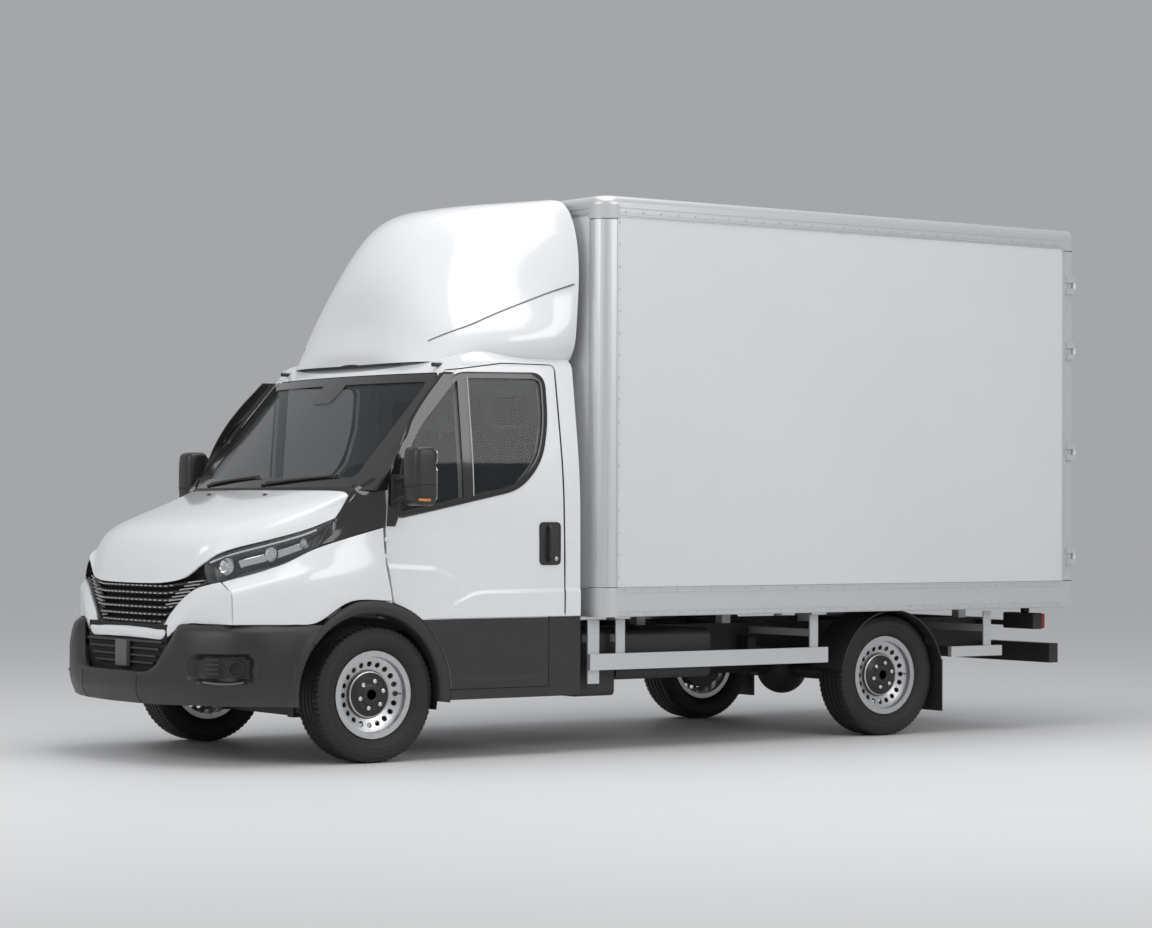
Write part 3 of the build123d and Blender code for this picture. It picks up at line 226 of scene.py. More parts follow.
def paint(name, base, shade, low=0.12, high=0.22, coat=0.6, cloud=2.0):
    """Glossy paint with a clear coat."""
    finish = Finish(name, Coat_Weight=coat, Coat_Roughness=0.04, IOR=1.5)
    mask = finish.effect(MOTTLE, "Scale", cloud)
    finish.colour(finish.between(mask, base, shade))
    finish.gloss(mask, low, high)
    finish.relief(finish.effect(GRAIN, "Scale", 160.0), 0.00002, 0.25)
    return finish.material


def plastic(name, base, shade, grain, depth, low=0.45, high=0.6, dust=0.0):
    """Moulded plastic with its grain, dusty near the ground if asked."""
    finish = Finish(name, IOR=1.5)
    mask = finish.effect(MOTTLE, "Scale", 5.0)
    tone = finish.between(mask, base, shade)
    if dust:
        tone = finish.between(finish.effect(DUST, "Height", dust), tone, DUST_COLOUR)
    finish.colour(tone)
    finish.gloss(mask, low, high)
    finish.relief(finish.effect(GRAIN, "Scale", grain), depth)
    return finish.material


def metal(name, base, shade, scale, low, high, metallic=1.0):
    """Metal with streaks along its drawn direction."""
    finish = Finish(name, metallic=metallic)
    mask = finish.effect(STREAKS, "Scale", scale)
    finish.colour(finish.between(mask, base, shade))
    finish.gloss(mask, low, high)
    finish.relief(mask, 0.00003, 0.4)
    return finish.material


def clear(name, tint, alpha, roughness=0.02):
    """Glass or clear plastic, seen through by its alpha."""
    finish = Finish(name, roughness=roughness, Alpha=alpha, IOR=1.5, Coat_Weight=0.4)
    mask = finish.effect(MOTTLE, "Scale", 1.5)
    finish.colour(finish.between(mask, tint, tuple(v * 0.92 for v in tint[:3]) + (1,)))
    finish.gloss(mask, roughness, roughness + 0.03)
    return finish.material


WHITE_PAINT = paint("white paint", grey(0.80, 0.01), grey(0.765, 0.015))
PANEL_SKIN = paint("panel skin", grey(0.71, 0.008), grey(0.68, 0.01), 0.16, 0.26, 0.35, 0.8)
ROOF_SKIN = paint("roof skin", grey(0.68, 0.01), grey(0.64, 0.01), 0.3, 0.42, 0.1)
BLACK_GLOSS = paint("black gloss plastic", grey(0.012), grey(0.018), 0.06, 0.14, 0.5)
PROFILE_METAL = metal("anodised profile", grey(0.64, 0.02), grey(0.59, 0.02), (260, 3, 260), 0.30, 0.42, 0.45)
POST_METAL = metal("anodised post", grey(0.64, 0.02), grey(0.59, 0.02), (260, 260, 3), 0.30, 0.42, 0.45)
BLACK_PLASTIC = plastic(
    "black grained plastic", grey(0.020, 0.03), grey(0.028, 0.03), 900, 0.00012, 0.42, 0.55,
)
DARK_TRIM = plastic("dark trim", grey(0.03, 0.03), grey(0.045, 0.03), 300, 0.00004, 0.5, 0.65)
CHASSIS_PAINT = plastic("chassis paint", grey(0.016), grey(0.026), 250, 0.00015, 0.4, 0.6, 0.45)
CAST_IRON = plastic("cast iron", grey(0.10), grey(0.16), 300, 0.0004, 0.6, 0.8, 0.3)
ENGINE_METAL = metal("engine casting", grey(0.34), grey(0.26), (90, 90, 90), 0.45, 0.65)
EXHAUST_STEEL = metal("exhaust steel", (0.42, 0.39, 0.36, 1), (0.30, 0.26, 0.22, 1), (12, 60, 60), 0.35, 0.6)
WHEEL_SILVER = metal("wheel silver", grey(0.56, 0.01), grey(0.50, 0.01), (30, 30, 30), 0.26, 0.38, 0.85)
TYRE_RUBBER = plastic("tyre rubber", grey(0.012), grey(0.019), 700, 0.00015, 0.58, 0.72)
GLASS = clear("window glass", (0.010, 0.016, 0.018, 1), 0.34)
LAMP_GLASS = clear("lamp cover", (0.30, 0.32, 0.34, 1), 0.07, 0.01)
LAMP_RED = paint("red lamp", (0.42, 0.008, 0.008, 1), (0.36, 0.006, 0.006, 1), 0.08, 0.14)
LAMP_DARK = plastic("lamp housing", grey(0.018), grey(0.026), 1500, 0.00005, 0.25, 0.35)
CHROME = metal("bright reflector", grey(0.80), grey(0.74), (200, 200, 200), 0.06, 0.12)
LAMP_LENS = clear("lamp lens", (0.85, 0.88, 0.90, 1), 0.30, 0.01)
LIGHT_GUIDE = paint("light strip", grey(0.62), grey(0.55), 0.15, 0.25)
# Near-black for seams, joints and wheel-arch liners; the sheets behind the grilles use it as painted shade
# for the dark openings.
NEAR_BLACK_AND_PAINTED_SHADE = plastic("near-black seams, liners and painted shade", grey(0.006), grey(0.010), 500, 0.0001, 0.7, 0.85)
INSERT_GREY = plastic("grey inserts", grey(0.40), grey(0.46), 900, 0.00005, 0.35, 0.45)
BUMPER_BLACK = plastic("black bumper", grey(0.018, 0.02), grey(0.026, 0.02), 1100, 0.00010, 0.38, 0.50, 0.42)
BUMPER_GREY = plastic("grey bumper trim", grey(0.10), grey(0.12), 1100, 0.0001, 0.45, 0.55)
MIRROR_BLACK = plastic("mirror housing", grey(0.022), grey(0.030), 1400, 0.00006, 0.3, 0.4)
AMBER = paint("amber lens", (0.72, 0.20, 0.01, 1), (0.62, 0.16, 0.01, 1), 0.08, 0.14)
SEAL_GREY = plastic("grey sealant", grey(0.30), grey(0.36), 500, 0.0001, 0.6, 0.7)
SEAL_BLACK = plastic("rubber seal", grey(0.014), grey(0.022), 600, 0.0001, 0.6, 0.75)
CAP_PLASTIC = plastic("corner cap", grey(0.50, 0.01), grey(0.55, 0.01), 700, 0.00006, 0.35, 0.45)
RIVET_METAL = metal("rivets", grey(0.58), grey(0.50), (300, 300, 300), 0.3, 0.42, 0.8)
NUT_METAL = metal("plated nuts", grey(0.72), grey(0.62), (200, 200, 200), 0.18, 0.3)
HUB_BLACK = plastic("black hub cap", grey(0.014), grey(0.020), 900, 0.00006, 0.32, 0.42)
SEAT_CLOTH = plastic("seat cloth", grey(0.030, 0.02), grey(0.050, 0.02), 60, 0.000002, 0.85, 0.95)
LINING = plastic("inside lining", grey(0.30, 0.02), grey(0.35, 0.02), 60, 0.000002, 0.7, 0.8)
LINING_DARK = plastic("door card", grey(0.05), grey(0.07), 120, 0.00003, 0.6, 0.7)
SEAM_GREY = plastic("moulding seam", grey(0.13), grey(0.17), 400, 0.00005, 0.5, 0.6)
FLOOR_PLY = plastic("coated ply floor", (0.10, 0.07, 0.05, 1), (0.14, 0.10, 0.07, 1), 220, 0.0003, 0.5, 0.65)

node_finish = {
    "tyre_front_left": TYRE_RUBBER, "tyre_front_right": TYRE_RUBBER,
    "tyre_rear_left": TYRE_RUBBER, "tyre_rear_right": TYRE_RUBBER,
    "rim_front_left": WHEEL_SILVER, "rim_front_right": WHEEL_SILVER,
    "rim_rear_left": WHEEL_SILVER, "rim_rear_right": WHEEL_SILVER,
    "knuckle_left": CAST_IRON, "knuckle_right": CAST_IRON,
    "front_suspension": CHASSIS_PAINT, "chassis_rails": CHASSIS_PAINT,
    "chassis_crossmembers": CHASSIS_PAINT, "engine_block": ENGINE_METAL,
    "propshaft": CHASSIS_PAINT, "rear_axle": CHASSIS_PAINT, "leaf_springs": CHASSIS_PAINT,
    "exhaust": EXHAUST_STEEL, "side_tanks": BLACK_PLASTIC, "floor_bearers": PROFILE_METAL,
    "box_floor": FLOOR_PLY, "box_front_posts": POST_METAL, "box_rails": PROFILE_METAL,
    "box_side_panels": PANEL_SKIN, "box_front_wall": PANEL_SKIN, "box_roof": ROOF_SKIN,
    "rear_frame": POST_METAL, "rear_door_left": PANEL_SKIN, "rear_door_right": PANEL_SKIN,
    "side_guards": PROFILE_METAL, "mudguards": BLACK_PLASTIC, "underrun_bar": CHASSIS_PAINT,
    "tail_lamps": LAMP_RED, "cab_shell": WHITE_PAINT, "windscreen": GLASS,
    "door_left": WHITE_PAINT, "door_right": WHITE_PAINT, "door_glass_left": GLASS,
    "door_glass_right": GLASS, "arch_flares": BLACK_PLASTIC, "cab_sills": BLACK_PLASTIC,
    "bonnet": WHITE_PAINT, "headlamps": LAMP_GLASS, "front_grilles": BLACK_PLASTIC,
    "pillar_trims": BLACK_GLOSS, "front_wings": WHITE_PAINT, "nose_panel": WHITE_PAINT,
    "front_bumper": BLACK_PLASTIC, "roof_deflector": WHITE_PAINT, "mirror_left": BLACK_PLASTIC,
    "mirror_right": BLACK_PLASTIC, "dashboard": DARK_TRIM, "steering_wheel": DARK_TRIM,
    "cab_seats": DARK_TRIM,
}
for name, finish in node_finish.items():
    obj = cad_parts[name]
    if not obj.material_slots:
        obj.data.materials.append(finish)
    for material_slot in obj.material_slots:
        material_slot.material = finish

# Mesh helpers
def spline_through(points, steps):
    """Smooth curve through points (rows of numbers), with steps between each two of them."""
    points = np.asarray(points, float)
    padded_points = np.vstack([2 * points[0] - points[1], points, 2 * points[-1] - points[-2]])
    line = []
    for i in range(len(points) - 1):
        before, start, end, after = padded_points[i:i + 4]
        for t in np.linspace(0, 1, steps, endpoint=False):
            line.append(0.5 * (
                2 * start
                + (end - before) * t
                + (2 * before - 5 * start + 4 * end - after) * t**2
                + (3 * start - before - 3 * end + after) * t**3
            ))
    line.append(points[-1])
    return np.array(line)


def surface(rows, steps=6):
    """Grid of points on the smooth surface through rows of control points."""
    rows = [spline_through(row, steps) for row in rows]
    columns = [spline_through(column, steps) for column in np.array(rows).transpose(1, 0, 2)]
    return np.array(columns).transpose(1, 0, 2)


def both_halves(rows):
    """Rows that start on the middle plane, with their mirror image put in front."""
    return [[(-x, y, z) for x, y, z in reversed(row[1:])] + list(row) for row in rows]


def grid_faces(grid, closed=False):
    """Vertices and faces of a grid of points, closed round its second direction if asked."""
    count_u, count_v = grid.shape[:2]
    faces = []
    for i in range(count_u - 1):
        for j in range(count_v if closed else count_v - 1):
            k = (j + 1) % count_v
            faces.append((i * count_v + j, i * count_v + k, (i + 1) * count_v + k, (i + 1) * count_v + j))
    return [tuple(p) for p in grid.reshape(-1, 3)], faces


def mirrored_mesh(verts, faces):
    """Mesh joined with its mirror image across the middle plane."""
    count = len(verts)
    other_verts = [(-x, y, z) for x, y, z in verts]
    other_faces = [tuple(count + i for i in reversed(face)) for face in faces]
    return list(verts) + other_verts, list(faces) + other_faces


def joined(*meshes):
    verts, faces = [], []
    for more_verts, more_faces in meshes:
        start = len(verts)
        verts += list(more_verts)
        faces += [tuple(start + i for i in face) for face in more_faces]
    return verts, faces


def slab(outline, axis, low, high):
    """Outline (two coordinates a row) extruded from low to high along an axis (0, 1 or 2)."""
    verts = []
    for level_value in (low, high):
        for a, b in outline:
            point = [a, b]
            point.insert(axis, level_value)
            verts.append(tuple(point))
    n = len(outline)
    faces = [tuple(range(n)), tuple(range(2 * n - 1, n - 1, -1))]
    faces += [(i, (i + 1) % n, n + (i + 1) % n, n + i) for i in range(n)]
    return verts, faces


def brick(x0, x1, y0, y1, z0, z1):
    return slab([(x0, y0), (x1, y0), (x1, y1), (x0, y1)], 2, z0, z1)


def lathe(profile, centre, steps=96, axis=0):
    """Profile rows (place along the axis, radius) turned about an axis through the centre."""
    grid = []
    for along, radius in profile:
        ring = []
        for k in range(steps):
            angle = 2 * math.pi * k / steps
            point = [radius * math.cos(angle), radius * math.sin(angle)]
            point.insert(axis, along)
            ring.append([point[i] + centre[i] for i in range(3)])
        grid.append(ring)
    verts, faces = grid_faces(np.array(grid), closed=True)
    count = len(profile)
    if profile[0][1] > 0 and profile[0] != profile[-1]:
        faces.append(tuple(range(steps)))
    if profile[-1][1] > 0 and profile[0] != profile[-1]:
        faces.append(tuple((count - 1) * steps + k for k in reversed(range(steps))))
    return verts, faces


def tube(points, radius, sides=12, steps=6):
    """Round tube on the smooth line through points, with closed ends."""
    line = spline_through(points, steps) if len(points) > 2 else np.asarray(points, float)
    grid = []
    for i, centre in enumerate(line):
        forward = line[min(i + 1, len(line) - 1)] - line[max(i - 1, 0)]
        forward /= np.linalg.norm(forward)
        helper = np.array([0, 0, 1.0]) if abs(forward[2]) < 0.9 else np.array([1.0, 0, 0])
        across = np.cross(forward, helper)
        across /= np.linalg.norm(across)
        over = np.cross(across, forward)
        angles = 2 * math.pi * np.arange(sides) / sides
        grid.append([centre + radius * (math.cos(a) * across + math.sin(a) * over) for a in angles])
    verts, faces = grid_faces(np.array(grid), closed=True)
    faces.append(tuple(range(sides)))
    faces.append(tuple(len(verts) - 1 - k for k in range(sides)))
    return verts, faces


def finished(
    name, mesh_data, material, body=BODY, stands_for=(), sharp=35, wall=0.0, bevel=0.0, smooth=0,
    metres=False,
):
    """Piece from vertices and faces, with a wall drawn inwards and edges rounded, riding on a body."""
    verts, faces = mesh_data
    mesh = bpy.data.meshes.new(name)
    mesh.from_pydata([tuple(v) if metres else place(*v) for v in verts], [], faces)
    builder = bmesh.new()
    builder.from_mesh(mesh)
    bmesh.ops.remove_doubles(builder, verts=builder.verts, dist=0.00005)
    bmesh.ops.dissolve_degenerate(builder, dist=0.00001, edges=builder.edges)
    bmesh.ops.recalc_face_normals(builder, faces=builder.faces)
    for face in builder.faces:
        face.smooth = True
    for edge in builder.edges:
        edge.smooth = len(edge.link_faces) == 2 and edge.calc_face_angle(0) < math.radians(sharp)
    builder.to_mesh(mesh)
    builder.free()
    mesh.materials.append(material)
    piece = bpy.data.objects.new(name, mesh)
    bpy.context.collection.objects.link(piece)
    if wall:
        solidify = piece.modifiers.new("wall", "SOLIDIFY")
        solidify.thickness = wall / 1000
        solidify.offset = -1
    if bevel:
        rounding = piece.modifiers.new("edges", "BEVEL")
        rounding.width = bevel / 1000
        rounding.segments = 2
        rounding.limit_method = "ANGLE"
        rounding.angle_limit = math.radians(40)
        rounding.harden_normals = True
    if smooth:
        softer = piece.modifiers.new("form", "SUBSURF")
        softer.levels = smooth
        softer.render_levels = smooth
    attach(piece, body)
    if stands_for:
        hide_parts(*stands_for)
    return piece


def outward(piece, centre):
    """Turn the faces of an open sheet so that they look away from a point inside the vehicle."""
    mesh = piece.data
    middle = Vector(place(*centre))
    total = sum(polygon.normal.dot(polygon.center - middle) * polygon.area for polygon in mesh.polygons)
    if total < 0:
        mesh.flip_normals()


def sheet_piece(name, mesh_data, material, wall=4.0, bevel=1.2, centre=(0, 300, 900), **more):
    """Panel pressed from sheet: an open surface given its wall inwards."""
    piece = finished(name, mesh_data, material, wall=wall, bevel=bevel, **more)
    outward(piece, centre)
    return piece

# Bonnet: rows run from the screen to the front lip, points from the middle to the side edge
bonnet_rows = [
    [
        (0, -196, 1383), (430, -170, 1382), (720, -122, 1379),
        (846, -104, 1366), (864, -128, 1318), (880, -186, 1243),
    ],
    [
        (0, -350, 1337), (400, -338, 1331), (690, -312, 1312),
        (800, -298, 1288), (832, -312, 1240), (845, -336, 1184),
    ],
    [
        (0, -560, 1277), (360, -546, 1270), (640, -510, 1248),
        (735, -490, 1222), (772, -496, 1176), (786, -506, 1135),
    ],
    [
        (0, -745, 1211), (330, -731, 1204), (580, -690, 1182),
        (668, -655, 1156), (700, -655, 1120), (712, -664, 1092),
    ],
    [
        (0, -842, 1130), (310, -829, 1124), (530, -788, 1108),
        (618, -752, 1090), (656, -752, 1070), (674, -756, 1060),
    ],
    [
        (0, -888, 1020), (300, -874, 1018), (480, -836, 1010),
        (560, -810, 1006), (610, -806, 1012), (640, -800, 1026),
    ],
    [
        (0, -902, 905), (290, -890, 908), (430, -868, 921),
        (500, -848, 938), (548, -832, 962), (592, -818, 990),
    ],
]
sheet_piece(
    "bonnet_skin", grid_faces(surface(both_halves(bonnet_rows), 6)), WHITE_PAINT, wall=8, bevel=3,
    body="bonnet", stands_for=("bonnet",), centre=(0, 0, 600),
)
for side in (1, -1):
    nozzle = lathe([(0, 0), (0, 13), (4, 12), (7, 6), (8, 0)], (side * 300, -268, 1358), 24, axis=2)
    finished(f"washer_nozzle_{side}", nozzle, BLACK_PLASTIC, body="bonnet")

# Wings: rows run from the nose shut line to the door, points from the lamp down to the bumper
wing_rows = [
    [
        (742, -760, 920), (792, -757, 893), (830, -754, 862),
        (838, -752, 800), (836, -750, 750), (832, -748, 709),
    ],
    [
        (800, -610, 966), (846, -604, 934), (884, -600, 905),
        (893, -600, 840), (893, -602, 770), (890, -604, 709),
    ],
    [
        (858, -476, 1010), (900, -468, 972), (934, -462, 938),
        (944, -462, 868), (945, -464, 780), (942, -466, 709),
    ],
    [
        (906, -330, 1082), (938, -330, 1020), (962, -330, 966),
        (972, -330, 900), (976, -334, 800), (974, -345, 720),
    ],
    [
        (946, -160, 1138), (964, -160, 1060), (981, -160, 986),
        (989, -160, 925), (992, -160, 880), (993, -160, 822),
    ],
    [
        (979, 34, 1192), (985, 37, 1095), (994, 44, 1003),
        (1000, 54, 940), (1002, 66, 880), (1003, 76, 822),
    ],
]
wing_skin = grid_faces(surface(wing_rows, 6))
sheet_piece(
    "wing_skins", mirrored_mesh(*wing_skin), WHITE_PAINT, wall=14, bevel=2.0, stands_for=("front_wings",),
    centre=(0, -300, 700),
)

# Nose panel: rows run from the middle round the corner to the wing shut line
nose_rows = [
    [(0, -904, 684), (0, -918, 668), (0, -920, 648), (0, -914, 628)],
    [(200, -900, 685), (200, -915, 668), (200, -917, 648), (200, -911, 627)],
    [(355, -890, 694), (372, -906, 672), (385, -909, 650), (395, -903, 626)],
    [(415, -878, 752), (460, -890, 722), (478, -892, 700), (487, -887, 676)],
    [(510, -862, 828), (560, -866, 780), (575, -864, 740), (580, -860, 710)],
    [(600, -836, 882), (650, -832, 830), (668, -826, 765), (670, -820, 710)],
    [(684, -802, 907), (730, -794, 860), (760, -784, 780), (762, -778, 710)],
    [(738, -768, 920), (788, -765, 888), (826, -762, 855), (832, -758, 709)],
]
sheet_piece(
    "nose_skin", mirrored_mesh(*grid_faces(surface(nose_rows, 6))), WHITE_PAINT, wall=14, bevel=2.0,
    stands_for=("nose_panel",), centre=(0, -300, 800),
)

# Black foot of the windscreen pillar, between bonnet, wing, door and screen
foot_rows = [
    [(882, -196, 1236), (893, -190, 1205), (905, -215, 1165), (912, -290, 1108)],
    [(872, -140, 1300), (898, -130, 1245), (925, -140, 1190), (942, -165, 1140)],
    [(856, -92, 1362), (905, -75, 1300), (942, -60, 1230), (960, -62, 1172)],
    [(866, -62, 1392), (925, -30, 1330), (962, -10, 1260), (972, -6, 1186)],
    [(905, -28, 1424), (952, 10, 1375), (974, 34, 1290), (981, 36, 1196)],
    [(930, 0, 1448), (962, 34, 1420), (979, 46, 1350), (981, 43, 1198)],
]
sheet_piece(
    "pillar_feet", mirrored_mesh(*grid_faces(surface(foot_rows, 5))), BLACK_GLOSS, wall=10, bevel=1.5,
    stands_for=("pillar_trims",), centre=(0, 0, 1000),
)

# Headlamps: clear cover over a dark housing, with two reflectors and a light strip
lamp_rows = [
    [(648, -800, 1020), (653, -812, 986), (669, -812, 947), (692, -806, 912)],
    [(680, -750, 1052), (712, -762, 1012), (730, -768, 966), (740, -764, 924)],
    [(722, -656, 1086), (768, -662, 1052), (792, -656, 1008), (800, -636, 957)],
    [(794, -500, 1130), (828, -506, 1092), (850, -500, 1050), (858, -482, 1005)],
    [(850, -334, 1178), (874, -346, 1146), (892, -346, 1112), (904, -338, 1076)],
    [(884, -200, 1232), (890, -226, 1200), (898, -256, 1160), (906, -294, 1106)],
]
lamp_grid = surface(lamp_rows, 6)


def grid_normals(grid):
    """Direction away from the vehicle at each point of a grid on its left side."""
    across = np.gradient(grid, axis=0)
    along = np.gradient(grid, axis=1)
    normals = np.cross(across, along)
    normals /= np.linalg.norm(normals, axis=2, keepdims=True)
    outward_guess = grid.mean(axis=(0, 1)) - np.array([300, 0, 900])
    return normals if (normals.mean(axis=(0, 1)) @ outward_guess) > 0 else -normals


lamp_normals = grid_normals(lamp_grid)
sheet_piece(
    "headlamp_covers", mirrored_mesh(*grid_faces(lamp_grid)), LAMP_GLASS, wall=3, bevel=0,
    stands_for=("headlamps",), centre=(0, 0, 800),
)
depth = np.full(lamp_grid.shape[:2], 52.0)
depth[0, :] = depth[-1, :] = depth[:, 0] = depth[:, -1] = 4.0
depth[1, :] = depth[-2, :] = depth[:, 1] = depth[:, -2] = 12.0
housing = lamp_grid - lamp_normals * depth[:, :, None]
sheet_piece(
    "headlamp_housings", mirrored_mesh(*grid_faces(housing)), LAMP_DARK, wall=4, bevel=0, centre=(0, 0, 800),
)
fill_depth = np.full(lamp_grid.shape[:2], 34.0)
silver_fill = (lamp_grid - lamp_normals * fill_depth[:, :, None])[11:25, 6:14]
sheet_piece(
    "headlamp_reflector_trims", mirrored_mesh(*grid_faces(silver_fill)), CHROME, wall=3, bevel=0.8,
    centre=(0, 0, 800),
)
bowl_places = [
    # row and column on the cover, outer radius, depth
    (8, 9, 44, 30),
    (17, 9, 36, 26),
    (23, 9, 20, 16),
]


def facing(mesh_data, at, direction):
    """Mesh drawn round the X axis, turned so that X points along a direction, and moved."""
    turn_to = Vector(direction).to_track_quat("X", "Z").to_matrix()
    verts, faces = mesh_data
    return [tuple(turn_to @ Vector(v) + Vector(at)) for v in verts], faces


bowls, lenses, rings = [], [], []
for row, column, radius, hollow in bowl_places:
    at = lamp_grid[row, column] - lamp_normals[row, column] * 14
    aim = Vector(lamp_normals[row, column]) * 0.5 + Vector((0.25, -1.0, -0.05))
    bowl = [
        (-hollow, 0), (-hollow, radius * 0.35), (-hollow * 0.55, radius * 0.75), (0, radius),
        (1, radius + 3),
    ]
    bowl += [(-2, radius + 3), (-hollow * 0.6, radius * 0.78), (-hollow - 3, radius * 0.36), (-hollow - 3, 0)]
    bowls.append(facing(lathe(bowl, (0, 0, 0), 48), at, aim))
    lens = [
        (-hollow * 0.9, 0), (-hollow * 0.9, radius * 0.5), (-hollow * 0.3, radius * 0.46),
        (2, radius * 0.2), (4, 0),
    ]
    lenses.append(facing(lathe(lens, (0, 0, 0), 40), at, aim))
    ring = [
        (-3, radius * 0.98), (2, radius * 1.0), (2, radius * 1.1), (-3, radius * 1.12),
        (-3, radius * 0.98),
    ]
    rings.append(facing(lathe(ring, (0, 0, 0), 48), at, aim))
finished("headlamp_bowls", mirrored_mesh(*joined(*bowls)), CHROME)
finished("headlamp_lenses", mirrored_mesh(*joined(*lenses)), LAMP_LENS)
finished("headlamp_rings", mirrored_mesh(*joined(*rings)), BLACK_GLOSS)
strip_line = [tuple(lamp_grid[i, 2] - lamp_normals[i, 2] * 9) for i in range(2, 28, 3)]
finished("headlamp_strips", mirrored_mesh(*tube(strip_line, 5, 10, 4)), LIGHT_GUIDE)

# Front grille: near-black back sheet that stands for the shade behind the bars (painted shade), rim, and
# curved bars with short bright inserts
def nose_depth(x, z):
    """Y of the grille surface at a height and distance from the middle."""
    sweep = 890 - 0.62e-6 * abs(x) ** 3 * 0.35 - 0.00009 * x * x
    return -(sweep - 0.03 * (z - 700))


def grille_reach(z):
    """Half width of the grille opening at a height."""
    return float(np.interp(z, [690, 760, 828, 880, 905, 940], [350, 420, 498, 575, 625, 640]))


def lip_height(x):
    """Lower edge of the bonnet lip at a distance from the middle."""
    return float(np.interp(abs(x), [0, 290, 430, 500, 548, 592, 640], [903, 906, 919, 936, 960, 988, 1015]))


back_rows = []
for i in range(9):
    z = 688 + i * 34
    reach = min(grille_reach(min(z, 940)) + 14, 645)
    back_rows.append([(reach * k / 8, nose_depth(reach * k / 8, z) + 46, z) for k in range(9)])
back_rows = [[(x, y, min(z, lip_height(x) + 22)) for x, y, z in row] for row in back_rows]
sheet_piece(
    "grille_back", grid_faces(surface(both_halves(back_rows), 3)), NEAR_BLACK_AND_PAINTED_SHADE, wall=4, bevel=0,
    stands_for=("front_grilles",), centre=(0, 0, 800),
)
BAR_COUNT = 6
BAR_FIRST_Z = 712
BAR_PITCH = 36
BAR_BEND_START = 330
BAR_BEND_SLOPE = 0.10


def bar_rise(x):
    """How far a grille bar has bent up at a place across the nose."""
    return max(0.0, abs(x) - BAR_BEND_START) * BAR_BEND_SLOPE


bars, inserts = [], []
for i in range(BAR_COUNT):
    z = BAR_FIRST_Z + i * BAR_PITCH
    reach = grille_reach(z) - 6
    xs = np.linspace(-reach, reach, 41)
    grid = []
    for x in xs:
        y = nose_depth(x, z)
        top = z + bar_rise(x)
        grid.append([
            (x, y + 4, top + 8), (x, y - 2, top + 4), (x, y - 2, top - 5),
            (x, y + 8, top - 9), (x, y + 34, top - 5), (x, y + 34, top + 5),
        ])
    verts, faces = grid_faces(np.array(grid), closed=True)
    faces += [tuple(range(6)), tuple(len(verts) - 1 - k for k in range(6))]
    bars.append((verts, faces))
    for side in (1, -1):
        for k in range(9):
            x0 = side * (12 + k * 46)
            x1 = x0 + side * 30
            if abs(x1) > reach - 8:
                continue
            low, high = sorted((x0, x1))
            y = nose_depth((x0 + x1) / 2, z)
            inserts.append(brick(low, high, y - 5, y + 3, z + bar_rise(x0) - 3, z + bar_rise(x0) + 3))
finished("grille_bars", joined(*bars), BLACK_PLASTIC, sharp=30)
finished("grille_inserts", joined(*inserts), INSERT_GREY, bevel=1.0)
fins = []
for i in range(7):
    z = 800 + i * 19
    x0, x1 = grille_reach(z) - 110, grille_reach(z) - 4
    if z > lip_height(x0) - 8:
        x0 = float(np.interp(z, [903, 919, 936, 960], [290, 430, 500, 548])) + 6
    if x1 - x0 < 20:
        continue
    low_y, high_y = nose_depth(x0, z), nose_depth(x1, z)
    fins.append(([
        (x0, low_y - 4, z - 3), (x1, high_y - 4, z + 9), (x1, high_y + 18, z + 9), (x0, low_y + 18, z - 3),
        (x0, low_y - 4, z + 3), (x1, high_y - 4, z + 15), (x1, high_y + 18, z + 15), (x0, low_y + 18, z + 3),
    ], [(0, 1, 2, 3), (7, 6, 5, 4), (0, 4, 5, 1), (1, 5, 6, 2), (2, 6, 7, 3), (3, 7, 4, 0)]))
finished("grille_fins", mirrored_mesh(*joined(*fins)), INSERT_GREY, bevel=0.8)
rim_line = [
    (0, 690), (200, 691), (340, 695), (362, 706), (420, 760), (500, 828), (580, 880), (640, 912),
    (668, 925),
]
rim_points = [(x, nose_depth(x, z) - 4, z) for x, z in rim_line]
finished("grille_rim", mirrored_mesh(*tube(rim_points, 9, 12, 6)), BLACK_GLOSS)

# Lower grille behind the bumper opening, with a near-black back sheet as painted shade and a blank plate
# holder
finished("lower_grille_back", brick(-430, 430, -905, -885, 425, 700), NEAR_BLACK_AND_PAINTED_SHADE, bevel=2)
lower_bars = []
for z in (502, 538, 574, 610):
    reach = float(np.interp(z, [478, 625], [300, 425]))
    lower_bars.append(brick(-reach, reach, -925, -888, z - 6, z + 6))
finished("lower_grille_bars", joined(*lower_bars), BLACK_PLASTIC, bevel=3)
finished("plate_holder", brick(-62, 62, -942, -915, 478, 612), BUMPER_GREY, bevel=4)

